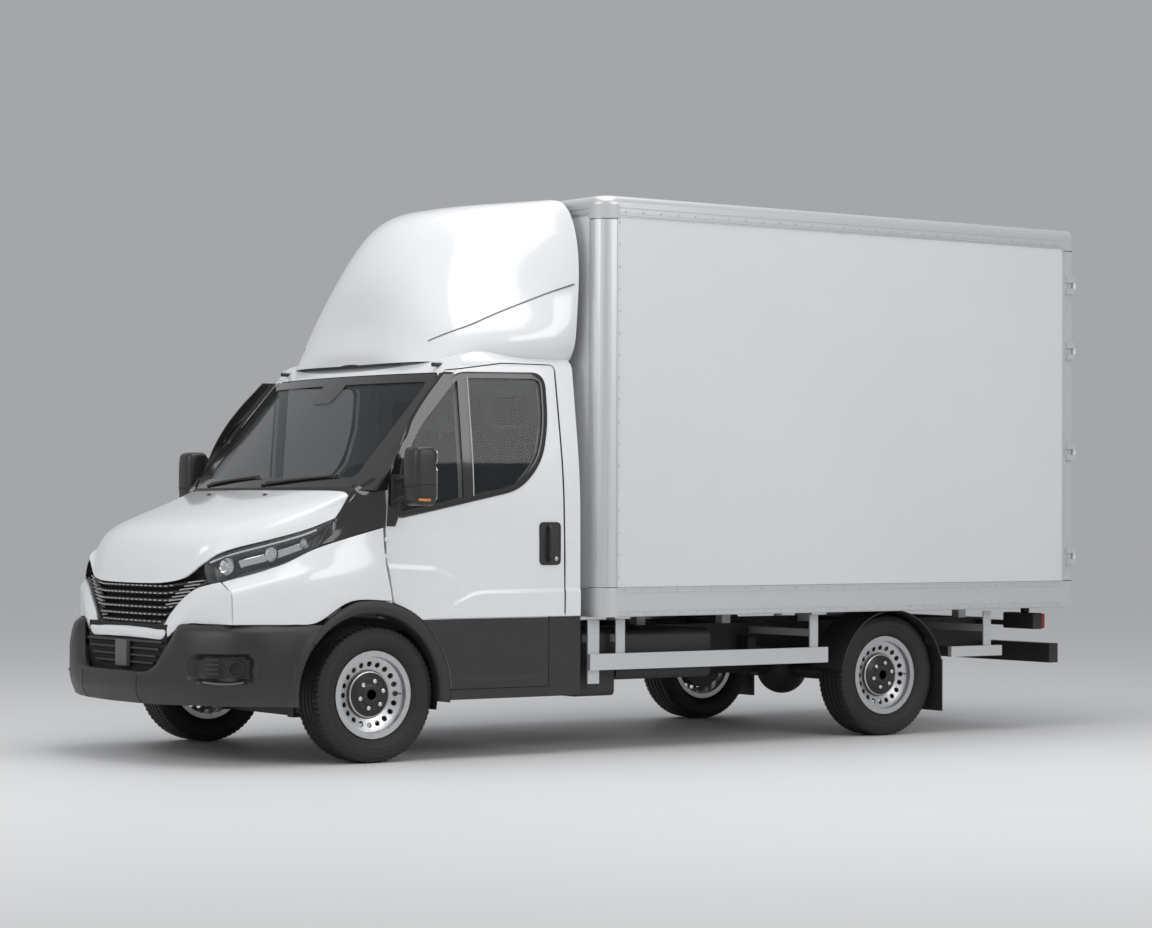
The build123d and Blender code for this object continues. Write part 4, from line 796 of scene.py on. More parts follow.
# Bumper: rows run from the middle round to the wheel arch, points from the top down
arch_edge = [(1000, -50 - math.sqrt(418**2 - (z - 345) ** 2), z) for z in (706, 640, 560, 460, 375, 300)]
bumper_rows = [
    [(0, -975, 462), (0, -994, 457), (0, -1001, 442), (0, -1002, 410), (0, -999, 360), (0, -966, 298)],
    [
        (180, -971, 462), (180, -990, 457), (180, -997, 442),
        (180, -999, 410), (180, -995, 360), (180, -963, 299),
    ],
    [
        (325, -960, 466), (328, -980, 461), (332, -987, 446),
        (334, -989, 414), (332, -986, 362), (326, -955, 300),
    ],
    [
        (392, -944, 498), (408, -962, 492), (420, -972, 474),
        (424, -976, 436), (422, -974, 374), (412, -944, 301),
    ],
    [
        (440, -924, 570), (466, -942, 562), (486, -956, 528),
        (492, -961, 466), (488, -960, 386), (476, -932, 302),
    ],
    [
        (486, -902, 645), (520, -924, 624), (542, -941, 560),
        (546, -946, 476), (542, -944, 388), (526, -918, 303),
    ],
    [
        (532, -884, 704), (574, -908, 672), (596, -925, 580),
        (600, -929, 480), (594, -927, 388), (576, -902, 304),
    ],
    [
        (655, -845, 706), (688, -868, 672), (704, -882, 580),
        (706, -884, 480), (700, -882, 388), (680, -862, 305),
    ],
    [
        (780, -768, 706), (826, -776, 670), (842, -782, 580),
        (844, -784, 480), (838, -782, 388), (814, -768, 305),
    ],
    [
        (872, -640, 706), (908, -648, 668), (924, -654, 580),
        (928, -656, 480), (922, -658, 388), (900, -656, 304),
    ],
    [
        (936, -455, 706), (962, -472, 660), (974, -496, 575),
        (978, -510, 470), (974, -518, 384), (956, -524, 302),
    ],
    [
        (982, -330, 706), (992, -395, 648), (998, -446, 566),
        (1000, -480, 464), (998, -492, 380), (988, -492, 301),
    ],
    arch_edge,
]
bumper_grid = surface(bumper_rows, 7)
bumper_normals = grid_normals(bumper_grid)
FOG_CENTRE = np.array([812, -790, 492])
across = (bumper_grid[:, :, 1] - FOG_CENTRE[1]) / 118
upward_share = (bumper_grid[:, :, 2] - FOG_CENTRE[2]) / 74
pocket = np.clip((1.0 - (np.abs(across) ** 4 + np.abs(upward_share) ** 4)) * 2.2, 0, 1) * 46
bumper_grid = bumper_grid - bumper_normals * pocket[:, :, None]
sheet_piece(
    "bumper_skin", mirrored_mesh(*grid_faces(bumper_grid)), BUMPER_BLACK, wall=10, bevel=2.5,
    stands_for=("front_bumper",), centre=(0, -400, 500),
)
louvres = []
for z in (462, 486, 510, 534):
    louvres.append(tube([(742, -852, z), (778, -833, z + 2), (806, -812, z + 3)], 5, 8, 4))
finished("fog_pocket_louvres", mirrored_mesh(*joined(*louvres)), BLACK_PLASTIC)
fog_lamp = [(-24, 0), (-24, 30), (0, 34), (2, 30), (3, 0)]
fog_shape = facing(lathe(fog_lamp, (0, 0, 0), 40), (852, -738, 492), (0.82, -0.57, 0))
finished("fog_lamps", mirrored_mesh(*fog_shape), GLASS)
fog_ring = [(-20, 34), (4, 34), (5, 38), (-20, 40), (-20, 34)]
ring_shape = facing(lathe(fog_ring, (0, 0, 0), 40), (852, -738, 492), (0.82, -0.57, 0))
finished("fog_lamp_rings", mirrored_mesh(*ring_shape), BLACK_GLOSS)
fog_bar = tube([(744, -866, 424), (800, -826, 418), (850, -774, 417), (884, -716, 424)], 6, 10, 5)
finished("fog_pocket_lips", mirrored_mesh(*fog_bar), BUMPER_GREY)
for side in (1, -1):
    seam = [(side * 300, y, z) for y, z in ((-1006, 448), (-1006, 400), (-1003, 350), (-972, 302))]
    finished(f"bumper_seam_{side}", tube(seam, 2.2, 8, 4), NEAR_BLACK_AND_PAINTED_SHADE)

# Flares over the front wheels: one rounded section swept round the arch
flare_section = [
    # distance from the arch centre, X
    (414, 962), (414, 1000), (422, 1009), (446, 1011), (468, 1009), (480, 1003), (480, 985), (440, 980),
]
flare_grid = []
for angle in np.radians(np.linspace(-6, 141, 64)):
    fade = float(np.interp(math.degrees(angle), [-6, 100, 141], [1, 1, 0.3]))
    ring = []
    for reach, x in flare_section:
        r = 414 + (reach - 414) * fade
        ring.append((x - 4 * (1 - fade), -50 + r * math.cos(angle), 345 + r * math.sin(angle)))
    flare_grid.append(ring)
verts, faces = grid_faces(np.array(flare_grid), closed=True)
faces += [tuple(range(8)), tuple(len(verts) - 1 - k for k in range(8))]
finished("wheel_flares", mirrored_mesh(verts, faces), BLACK_PLASTIC, stands_for=("arch_flares",), sharp=50)
ARCH_CENTRE_Y = -50
ARCH_CENTRE_Z = 345
LINER_RADIUS = 413
LINER_PLACES = (905, 930, 958, 985)
liner = []
for angle in np.radians(np.linspace(-12, 150, 40)):
    liner_y = ARCH_CENTRE_Y + LINER_RADIUS * math.cos(angle)
    liner_z = ARCH_CENTRE_Z + LINER_RADIUS * math.sin(angle)
    liner.append([(x, liner_y, liner_z) for x in LINER_PLACES])
liner_verts, liner_faces = grid_faces(np.array(liner))
finished("wheel_arch_liners", mirrored_mesh(liner_verts, liner_faces), NEAR_BLACK_AND_PAINTED_SHADE, wall=3)


# Cab side surface, as the solids have it, for the skins and frames that lie on the doors:
# upright below, leaning in above, with a large radius between
CAB_HALF_WIDTH = 1003
BOW_FOOT = 1256
BOW_MIDDLE = 1450
BOW_TOP = 1643
BOW_RADIUS = 3000
SIDE_LEAN = 0.13


def side_x(y, z):
    """Outer X of the cab side."""
    section = CAB_HALF_WIDTH
    if z > BOW_TOP:
        section -= SIDE_LEAN * (z - BOW_MIDDLE)
    elif z > BOW_FOOT:
        section -= (z - BOW_FOOT) ** 2 / (2 * BOW_RADIUS)
    plan = 985 + (0.0811 if y > 80 else 0.125) * (y - 80)
    return min(section, plan)


def door_front(z):
    return float(np.interp(z, [727, 815, 1029, 1196], [92, 92, 52, 49]))


def smooth_step(value, low, high):
    t = min(max((value - low) / (high - low), 0.0), 1.0)
    return t * t * (3 - 2 * t)


def door_relief(y, z):
    """How far the pressed skin stands out from the plain door."""
    ridge_z = float(np.interp(y, [50, 330, 455, 520], [1000, 985, 935, 860]))
    ridge_fade = 1 - smooth_step(y, 380, 560)
    below_ridge = smooth_step(ridge_z + 10 - z, 0, 22)
    ridge = 7.0 * below_ridge * ridge_fade * (1 - 0.6 * smooth_step(ridge_z - z, 20, 160))
    band_z = float(np.interp(y, [330, 376, 470, 561, 620, 1240], [730, 765, 815, 852, 862, 867]))
    band = 6.0 * smooth_step(band_z - z, -4, 9) * smooth_step(y, 330, 460)
    top_fade = smooth_step(z, 1120, 1195)
    return (1.5 + max(ridge, band)) * (1 - top_fade) - 1.5 * top_fade


FLARE_CLEAR = 486.5


def door_start(z):
    """Front edge of a door skin at a height: the door's edge, or the flare where that is further back."""
    over_arch = FLARE_CLEAR**2 - (z - 345) ** 2
    behind_flare = -50 + math.sqrt(over_arch) if over_arch > 0 else -50
    return max(door_front(z) + 1.5, behind_flare)


def side_skin(rear, bottom, top, count_y, count_z, front=None, relief=door_relief):
    """Sheet on the cab side between two heights, from a front edge to a rear one."""
    grid = []
    for i in range(count_y):
        column = []
        for k in range(count_z):
            z = bottom + (top - bottom) * k / (count_z - 1)
            y0 = door_start(z) if front is None else front
            y = y0 + (rear - y0) * i / (count_y - 1)
            column.append((side_x(y, z) + relief(y, z), y, z))
        grid.append(column)
    return grid_faces(np.array(grid))


def right_side(mesh_data):
    verts, faces = mesh_data
    return [(-x, y, z) for x, y, z in verts], faces


def on_doors(name, mesh_data, material, sheet=0.0, **more):
    """The same piece on both cab doors, each riding on its own door."""
    for side, data in (("left", mesh_data), ("right", right_side(mesh_data))):
        piece = finished(f"{name}_{side}", data, material, body=f"cab_door_{side}", wall=sheet, **more)
        if sheet:
            outward(piece, (0, 500, 1200))


def lower_relief(y, z):
    """Shallow pressed field in the black lower part of a door."""
    inside = smooth_step(y, 500, 540) * (1 - smooth_step(y, 985, 1020))
    inside *= smooth_step(z, 400, 425) * (1 - smooth_step(z, 670, 695))
    return 4.0 - 3.0 * inside


on_doors("door_skin", side_skin(1138, 728, 1196, 110, 60), WHITE_PAINT, sheet=3, sharp=60)
on_doors(
    "door_cladding", side_skin(1039, 362, 722, 60, 40, relief=lower_relief), BLACK_PLASTIC, sheet=3, sharp=60
)
corner_skin = mirrored_mesh(*side_skin(1244, 728, 1196, 8, 60, front=1149))
outward(finished("cab_corner_skins", corner_skin, WHITE_PAINT, wall=3, sharp=60), (0, 500, 900))

# Outlines with rounded corners, and bands that follow them
def rounded(points, steps=6):
    """Closed outline through corners (two coordinates and a radius a row), with arcs at the corners."""
    line = []
    count = len(points)
    for i, (a, b, radius) in enumerate(points):
        here = np.array((a, b), float)
        before = np.array(points[i - 1][:2], float) - here
        after = np.array(points[(i + 1) % count][:2], float) - here
        reach = min(radius, 0.45 * np.linalg.norm(before), 0.45 * np.linalg.norm(after))
        start = here + before / np.linalg.norm(before) * reach
        end = here + after / np.linalg.norm(after) * reach
        for t in np.linspace(0, 1, steps) if reach else (0.5,):
            line.append((1 - t) ** 2 * start + 2 * t * (1 - t) * here + t * t * end)
    return np.array(line)


def dense(outline, step=40):
    """Closed outline with more points on its long edges."""
    line = []
    for here, following in zip(outline, np.roll(outline, -1, axis=0)):
        count = max(1, int(np.linalg.norm(following - here) / step))
        line += [here + (following - here) * k / count for k in range(count)]
    return np.array(line)


def moved_out(outline, amount):
    """Closed outline moved outwards by an amount."""
    ahead_of = np.roll(outline, -1, axis=0) - np.roll(outline, 1, axis=0)
    normal = np.stack([ahead_of[:, 1], -ahead_of[:, 0]], axis=1)
    normal /= np.maximum(np.linalg.norm(normal, axis=1, keepdims=True), 1e-6)
    area = np.sum(outline[:, 0] * np.roll(outline[:, 1], -1) - np.roll(outline[:, 0], -1) * outline[:, 1])
    return outline + normal * amount * (1 if area > 0 else -1)


def side_band(outline, section):
    """Band along a closed outline on the cab side; section rows: out from the outline, out from the side."""
    rings = []
    for out, proud in section:
        ring = moved_out(outline, out)
        rings.append([(side_x(y, z) + proud, y, z) for y, z in ring])
    grid = np.array(rings + rings[:1]).transpose(1, 0, 2)
    grid = np.concatenate([grid, grid[:1]])
    return grid_faces(grid)


def side_plate(outline, low, high):
    """Plate on the cab side within an outline, between two distances from the side surface."""
    n = len(outline)
    verts = [(side_x(y, z) + out, y, z) for out in (low, high) for y, z in outline]
    faces = [tuple(range(n)), tuple(range(2 * n - 1, n - 1, -1))]
    return verts, faces + [(i, (i + 1) % n, n + (i + 1) % n, n + i) for i in range(n)]


# Door windows: black frame, divider and mirror base; seams behind the doors
window_outline = dense(rounded([
    (120, 1262, 20), (120, 1500, 60), (235, 1700, 200), (500, 1975, 60), (1035, 1985, 60),
    (1035, 1750, 200), (985, 1550, 200), (850, 1410, 160),
], 8), 25)
frame_section = [(-9, -6), (-9, 4), (14, 5), (24, 3), (24, -6)]
on_doors("window_frame", side_band(window_outline, frame_section), BLACK_GLOSS)
divider_rows = []
for z in np.linspace(1342, 1978, 30):
    divider_rows.append([
        (side_x(503, z) - 8, 503, z), (side_x(503, z) + 3, 503, z), (side_x(530, z) + 4, 530, z),
        (side_x(562, z) + 3, 562, z), (side_x(562, z) - 8, 562, z),
    ])
on_doors("window_divider", grid_faces(np.array(divider_rows), closed=True), BLACK_GLOSS)
# Pale metal tube along the divider's rear edge: a painted highlight standing for the bright line on that
# edge.
divider_highlight_line = [(side_x(566, z) + 4, 566, z) for z in (1356, 1500, 1650, 1800, 1972)]
on_doors("window_divider_edge", tube(divider_highlight_line, 3, 8, 3), PROFILE_METAL)


def door_edge(z):
    """Front edge of the door beside the screen, at a height."""
    return float(np.interp(z, [1196, 1434, 1560, 1716, 1860, 2000], [49, 61, 108, 189, 300, 434]))


GLASS_EDGE_Z = [1199, 1232, 1262, 1500, 1600, 1716, 1975]
GLASS_EDGE_Y = [104, 118, 124, 124, 168, 252, 500]
corner_rows = []
for z in np.linspace(1199, 1985, 60):
    glass_edge = float(np.interp(z, GLASS_EDGE_Z, GLASS_EDGE_Y))
    y0 = door_edge(z) + 1
    row = [(side_x(y0, z) + 0.5, y0 + 1, z)]
    row += [(side_x(y, z) + 3.5, y, z) for y in np.linspace(y0 + 1, glass_edge - 6, 8)]
    corner_rows.append(row)
on_doors("mirror_base", grid_faces(np.array(corner_rows)), BLACK_GLOSS, sheet=3)
side_seam_places = [(1146, 740), (1146, 1000), (1140, 1400), (1134, 1700), (1124, 2020)]
side_seam = [(side_x(y, z) - 1, y, z) for y, z in side_seam_places]
finished("door_seals", mirrored_mesh(*tube(side_seam, 3, 8, 6)), NEAR_BLACK_AND_PAINTED_SHADE)

# Door handles: recessed plate with an upright grip and a lock
handle_outline = rounded([(982, 997, 26), (982, 1219, 26), (1114, 1219, 26), (1114, 997, 26)], 8)
on_doors("handle_plate", side_plate(handle_outline, -2, 3.5), BLACK_PLASTIC, bevel=2)
handle_rim = side_band(handle_outline, [(-4, 2), (-3, 6), (1, 6), (3, -1)])
on_doors("handle_rim", handle_rim, BLACK_GLOSS)
grip_places = [(1010, 1018), (1026, 1034), (1030, 1108), (1026, 1182), (1010, 1198)]
grip_line = [(x, 1040, z) for x, z in grip_places]
on_doors("handle_grip", tube(grip_line, 12, 16, 8), BLACK_PLASTIC)
lock_profile = [(1003, 0), (1003, 11), (1010, 11), (1012, 9), (1012, 0)]
on_doors("handle_lock", lathe(lock_profile, (0, 1088, 1028), 32), CHROME)

# Fuel flap behind the left door
flap_outline = rounded([(1156, 742, 14), (1156, 858, 14), (1236, 858, 14), (1236, 742, 14)], 6)
flap_section = [(-1.5, 2), (-1.5, 4), (1.5, 4), (1.5, 2)]
finished("fuel_flap_seam", side_band(flap_outline, flap_section), NEAR_BLACK_AND_PAINTED_SHADE)


# Windscreen surface, as the solids have it
def screen_y(x, z):
    return -160 + 0.87255 * (z - 1387) + 3450 - math.sqrt(3450**2 - x * x)


def screen_band(outer, inner, proud, steps=12):
    """Ring on the windscreen between two closed outlines of X and Z with as many points."""
    grid = []
    for t in np.linspace(0, 1, steps):
        ring = outer * (1 - t) + inner * t
        grid.append([(x, screen_y(x, z) - proud, z) for x, z in ring])
    grid = np.array(grid).transpose(1, 0, 2)
    return grid_faces(np.concatenate([grid, grid[:1]]))


screen_outer = dense(rounded([(-824, 1392, 44), (824, 1392, 44), (824, 1994, 44), (-824, 1994, 44)], 8))
screen_inner = np.stack([
    screen_outer[:, 0] * (786 / 824),
    1392 + (screen_outer[:, 1] - 1392) * (502 / 602) + 56,
], axis=1)
frit = finished("screen_border", screen_band(screen_outer, screen_inner, 1.5), BLACK_GLOSS, wall=1.5)
outward(frit, (0, 600, 1500))
sensor_outline = dense(rounded([(-95, 1850, 26), (95, 1850, 26), (120, 1952, 20), (-120, 1952, 20)], 6), 30)
sensor_middle = sensor_outline * 0 + sensor_outline.mean(axis=0)
sensor = screen_band(sensor_outline, sensor_middle + (sensor_outline - sensor_middle) * 0.02, 1.8, 5)
outward(finished("screen_sensor_patch", sensor, BLACK_GLOSS, wall=1.5), (0, 600, 1500))
for side in (-1, 1):
    pivot_x = -640 if side < 0 else 60
    start = (pivot_x, screen_y(pivot_x, 1412) - 5, 1412)
    blade = []
    for s in (0, 190, 380, 570):
        blade_x, blade_z = pivot_x + 30 + s, 1424 + s * 0.06
        blade.append((blade_x, screen_y(blade_x, blade_z) - 13, blade_z))
    arm = [
        start, (pivot_x + 60, screen_y(pivot_x + 60, 1418) - 10, 1418),
        (pivot_x + 200, screen_y(pivot_x + 200, 1432) - 14, 1432), blade[2],
    ]
    finished(f"wiper_blade_{side}", tube(blade, 6, 10, 4), BLACK_PLASTIC)
    finished(f"wiper_arm_{side}", tube(arm, 6.5, 10, 5), BLACK_PLASTIC)
    cap_profile = [(-8, 0), (-8, 13), (4, 12), (8, 8), (9, 0)]
    cap = facing(lathe(cap_profile, (0, 0, 0), 28), start, (0, -0.5, 0.86))
    finished(f"wiper_cap_{side}", cap, BLACK_PLASTIC)

# Cowl between bonnet and windscreen
cowl_rows = []
for x in (0, 200, 400, 560, 700, 800, 866):
    bonnet_y = float(np.interp(x, [0, 430, 720, 846], [-192, -166, -118, -104]))
    screen_edge = screen_y(x, 1396) - 6
    lift = float(np.interp(x, [0, 700, 866], [1378, 1376, 1372]))
    gap = float(np.interp(x, [0, 700, 800, 866], [6, 8, 20, 22]))
    cowl_rows.append([
        (x, bonnet_y + gap, lift - 14), (x, bonnet_y + gap + 9, lift - 2),
        (x, (bonnet_y + screen_edge) / 2 + 8, lift + 4), (x, screen_edge, 1398),
    ])
sheet_piece("screen_cowl", mirrored_mesh(*grid_faces(surface(cowl_rows, 5))), BLACK_PLASTIC, wall=4)

# Windscreen pillar covers
pillar_rows = []
for z in (1382, 1500, 1620, 1740, 1850, 1940, 1996):
    outer_y = door_edge(z) - 6
    corner_x = side_x(screen_y(950, z), z)
    corner_y = screen_y(corner_x, z)
    pillar_rows.append([
        (826, screen_y(826, z) - 3, z),
        ((826 + corner_x) / 2 - 4, screen_y((826 + corner_x) / 2, z) - 5, z),
        (corner_x - 12, corner_y - 8, z),
        (corner_x + 3, min(corner_y + 3, outer_y - 3), z),
        (side_x(outer_y, z) + 3, outer_y, z),
    ])
sheet_piece(
    "pillar_covers", mirrored_mesh(*grid_faces(surface(pillar_rows, 5))), BLACK_GLOSS, wall=2, bevel=0,
    centre=(0, 700, 1500),
)

# Mirrors: housing, glass, arms and side lamp, riding on the doors
mirror_levels = [
    # height, inner X, outer X, front Y, rear Y
    (1304, 1140, 1240, 82, 158),
    (1312, 1126, 1256, 62, 172),
    (1340, 1121, 1264, 52, 178),
    (1450, 1119, 1266, 47, 180),
    (1560, 1121, 1264, 50, 178),
    (1592, 1127, 1257, 60, 172),
    (1603, 1142, 1240, 84, 156),
]
mirror_grid = []
for z, x0, x1, y0, y1 in mirror_levels:
    ring = []
    for k in range(40):
        angle = 2 * math.pi * k / 40
        c, s = math.cos(angle), math.sin(angle)
        power = 0.42
        ring.append((
            (x0 + x1) / 2 + (x1 - x0) / 2 * math.copysign(abs(c) ** power, c),
            (y0 + y1) / 2 + (y1 - y0) / 2 * math.copysign(abs(s) ** (power if s > 0 else 0.75), s),
            z,
        ))
    mirror_grid.append(ring)
dense_rings = np.array([spline_through(column, 5) for column in np.array(mirror_grid).transpose(1, 0, 2)])
ring_grid = dense_rings.transpose(1, 0, 2)
verts, faces = grid_faces(ring_grid, closed=True)
faces += [tuple(range(40)), tuple(len(verts) - 1 - k for k in range(40))]
for side, name in ((1, "left"), (-1, "right")):
    data = (verts, faces) if side > 0 else right_side((verts, faces))
    finished(
        f"mirror_housing_{name}", data, MIRROR_BLACK, body=f"cab_door_{name}", stands_for=(f"mirror_{name}",),
        sharp=60,
    )
arm_lines = [
    [(995, 92, 1322), (1030, 94, 1338), (1085, 104, 1352), (1135, 112, 1356)],
    [(990, 100, 1432), (1030, 100, 1440), (1085, 106, 1448), (1135, 112, 1450)],
]
on_doors("mirror_arms", joined(*[tube(line, 15, 14, 6) for line in arm_lines]), BLACK_PLASTIC)
foot_plate = side_plate(rounded([(72, 1296, 14), (72, 1462, 14), (122, 1462, 14), (122, 1296, 14)]), 2, 16)
on_doors("mirror_foot", foot_plate, BLACK_PLASTIC, bevel=3)
glass_outline = rounded([(1134, 1332, 20), (1134, 1500, 20), (1252, 1500, 20), (1252, 1332, 20)])
on_doors("mirror_glass", slab([tuple(p) for p in glass_outline], 1, 178, 182), CHROME, bevel=0.8)
upper_glass = rounded([(1134, 1514, 16), (1134, 1584, 16), (1252, 1584, 16), (1252, 1514, 16)])
on_doors("mirror_glass_upper", slab([tuple(p) for p in upper_glass], 1, 178, 182), CHROME, bevel=0.8)
split = []
for angle in np.linspace(0, 2 * math.pi, 49):
    c, s = math.cos(angle), math.sin(angle)
    split.append((
        1192.5 + 73.6 * math.copysign(abs(c) ** 0.42, c),
        113.5 + 66.9 * math.copysign(abs(s) ** (0.42 if s > 0 else 0.75), s),
        1398 + 12 * c,
    ))
on_doors("mirror_seam", tube(split, 1.6, 8, 1), NEAR_BLACK_AND_PAINTED_SHADE)
lamp_line = [(1262, 66, 1334), (1267, 96, 1332), (1266, 130, 1332)]
on_doors("mirror_side_lamp", tube(lamp_line, 7, 12, 6), AMBER)

# Marker lamps on the roof edge
marker = []
for along, radius in [(-62, 0.5), (-58, 9), (-40, 16), (0, 20), (40, 16), (58, 9), (62, 0.5)]:
    marker.append((along, radius))
marker_lamp = lathe(marker, (772, 513, 2052), 24, axis=1)
marker_lamp = ([(x, y, max(z, 2044)) for x, y, z in marker_lamp[0]], marker_lamp[1])

# Load body: corner caps, ribs and seams of the profiles
post_arc = [(975 + 105 * math.sin(a), 1426 - 100 * math.cos(a)) for a in np.radians(np.linspace(0, 90, 13))]
for label, height, radius in (("upper", 2834, 2.2), ("lower", 874, 1.8)):
    ring = [(x, y, height) for x, y in post_arc] + [(1081, 1431, height)]
    finished(f"post_seams_{label}", mirrored_mesh(*tube(ring, radius, 8, 1)), NEAR_BLACK_AND_PAINTED_SHADE)
ribs = []
for z, half in ((2849, 3.0), (2868, 2.0), (2896, 1.5), (868, 3.0), (846, 1.5), (748, 1.5), (728, 2.5)):
    ribs.append(brick(1077, 1083, 1434, 4716, z - half, z + half))
finished("side_rail_ribs", mirrored_mesh(*joined(*ribs)), PROFILE_METAL, bevel=1.2)
front_ribs = [brick(-974, 974, 1323, 1328, z - 2, z + 2) for z in (2868, 2896, 868, 748)]
finished("front_rail_ribs", joined(*front_ribs), PROFILE_METAL, bevel=1)
post_ribs = [brick(1077, 1083, 1425, 1434, 876, 2832), brick(966, 974, 1323, 1328, 876, 2832)]
post_ribs.append(brick(1077, 1083, 4712, 4719, 876, 2850))
for angle in np.radians((28, 45, 62)):
    x, y = 975 + 105 * math.sin(angle), 1426 - 100 * math.cos(angle)
    post_ribs.append(tube([(x, y, 878), (x, y, 2830)], 2.6, 8, 1))
finished("post_ribs", mirrored_mesh(*joined(*post_ribs)), POST_METAL, bevel=0)
panel_seams = [tube([(1079, 1436, z), (1079, 4714, z)], 2.0, 8, 1) for z in (2853, 874)]
finished("panel_seals", mirrored_mesh(*joined(*panel_seams)), SEAL_GREY)
cap_outline = [(x, y) for x, y in post_arc] + [(1080, 1440), (960, 1440), (960, 1326)]
cap_points = np.array(cap_outline)
cap_out = moved_out(cap_points, 2.5)
caps = slab([tuple(p) for p in cap_out], 2, 2838, 2912)
finished("corner_cap_collars", mirrored_mesh(*caps), CAP_PLASTIC, bevel=2)
frame_seams = [tube([(1081, 4716, z), (1081, 4788, z), (1000, 4788.5, z)], 1.8, 8, 1) for z in (2836, 876)]
finished("rear_frame_seams", mirrored_mesh(*joined(*frame_seams)), NEAR_BLACK_AND_PAINTED_SHADE)

# Rear doors: rubber seals, lock keepers and handles on each leaf
for side, name in ((1, "left"), (-1, "right")):
    seal_path = [(3 * side + 6 * side, 870), (984 * side, 870), (984 * side, 2838), (9 * side, 2838)]
    seal_path = seal_path + seal_path[:1]
    seals = [
        tube([(a[0], 4782, a[1]), (b[0], 4782, b[1])], 5, 8, 1)
        for a, b in zip(seal_path, seal_path[1:])
    ]
    finished(f"rear_door_seal_{name}", joined(*seals), SEAL_BLACK, body=f"rear_door_{name}")
    lock_x = 670 * side
    keeper_parts = []
    for z in (926, 1300, 1900, 2784):
        keeper_parts.append(brick(lock_x - 34, lock_x + 34, 4783, 4797, z - 24, z + 24))
        keeper_profile = [(z - 13, 0), (z - 13, 17), (z + 13, 17), (z + 13, 0)]
        keeper_parts.append(lathe(keeper_profile, (lock_x, 4795, 0), 24, axis=2))
    finished(f"lock_guides_{name}", joined(*keeper_parts), POST_METAL, body=f"rear_door_{name}", bevel=1.5)
    handle_line = [(lock_x, 4799, 1343), (lock_x - 60 * side, 4806, 1343), (lock_x - 190 * side, 4806, 1343)]
    handle = tube(handle_line, 9, 14, 5)
    finished(f"lock_handle_{name}", handle, BLACK_PLASTIC, body=f"rear_door_{name}")

# Lamps at the back: black boxes behind the red lenses, and divided lens faces
lamp_box = joined(
    brick(690, 950, 4602, 4680, 585, 680), brick(800, 840, 4640, 4680, 680, 715),
    brick(410, 690, 4640, 4680, 600, 630),
)
finished("tail_lamp_boxes", mirrored_mesh(*lamp_box), BLACK_PLASTIC, bevel=6, stands_for=("tail_lamps",))
lens_parts = [brick(694, 776, 4678, 4702, 589, 676), brick(864, 946, 4678, 4702, 589, 676)]
finished("tail_lamp_lenses", mirrored_mesh(*joined(*lens_parts)), LAMP_RED, bevel=3)
finished("turn_lamp_lenses", mirrored_mesh(*brick(778, 862, 4678, 4702, 634, 676)), AMBER, bevel=3)
finished("reversing_lamp_lenses", mirrored_mesh(*brick(778, 862, 4678, 4702, 589, 632)), LIGHT_GUIDE, bevel=3)
finished("roof_marker_lamps", mirrored_mesh(*marker_lamp), LAMP_LENS)
marker_base = [(780, 452, 2040), (781, 513, 2041), (780, 574, 2040)]
finished("roof_marker_bases", mirrored_mesh(*tube(marker_base, 11, 12, 4)), BLACK_PLASTIC)

# Geometry Nodes: copies of a small shape on points, realized into one mesh
def scatter_tree(name):
    """Node tree that puts the shape of one object on every point of a mesh, turned along a direction."""
    tree = bpy.data.node_groups.new(name, "GeometryNodeTree")
    tree.interface.new_socket("Geometry", in_out="INPUT", socket_type="NodeSocketGeometry")
    tree.interface.new_socket("Shape", in_out="INPUT", socket_type="NodeSocketObject")
    tree.interface.new_socket("Direction", in_out="INPUT", socket_type="NodeSocketVector")
    tree.interface.new_socket("Size", in_out="INPUT", socket_type="NodeSocketFloat")
    tree.interface.new_socket("Size change", in_out="INPUT", socket_type="NodeSocketFloat")
    tree.interface.new_socket("Finish", in_out="INPUT", socket_type="NodeSocketMaterial")
    tree.interface.new_socket("Geometry", in_out="OUTPUT", socket_type="NodeSocketGeometry")
    add = tree.nodes.new
    link = tree.links.new
    given, out = add("NodeGroupInput"), add("NodeGroupOutput")
    points = add("GeometryNodeMeshToPoints")
    shape = add("GeometryNodeObjectInfo")
    turn = add("FunctionNodeAlignRotationToVector")
    turn.axis = "Z"
    change = add("FunctionNodeRandomValue")
    change.inputs["Seed"].default_value = 7
    low = add("ShaderNodeMath")
    low.operation = "SUBTRACT"
    copies = add("GeometryNodeInstanceOnPoints")
    real = add("GeometryNodeRealizeInstances")
    finish_node = add("GeometryNodeSetMaterial")
    link(given.outputs["Geometry"], points.inputs["Mesh"])
    link(given.outputs["Shape"], shape.inputs["Object"])
    link(given.outputs["Direction"], turn.inputs["Vector"])
    link(given.outputs["Size"], low.inputs[0])
    link(given.outputs["Size change"], low.inputs[1])
    link(low.outputs[0], change.inputs[2])
    link(given.outputs["Size"], change.inputs[3])
    link(points.outputs["Points"], copies.inputs["Points"])
    link(shape.outputs["Geometry"], copies.inputs["Instance"])
    link(turn.outputs["Rotation"], copies.inputs["Rotation"])
    link(change.outputs[1], copies.inputs["Scale"])
    link(copies.outputs["Instances"], real.inputs["Geometry"])
    link(real.outputs["Geometry"], finish_node.inputs["Geometry"])
    link(given.outputs["Finish"], finish_node.inputs["Material"])
    link(finish_node.outputs["Geometry"], out.inputs["Geometry"])
    return tree


SCATTER = scatter_tree("copies on points")


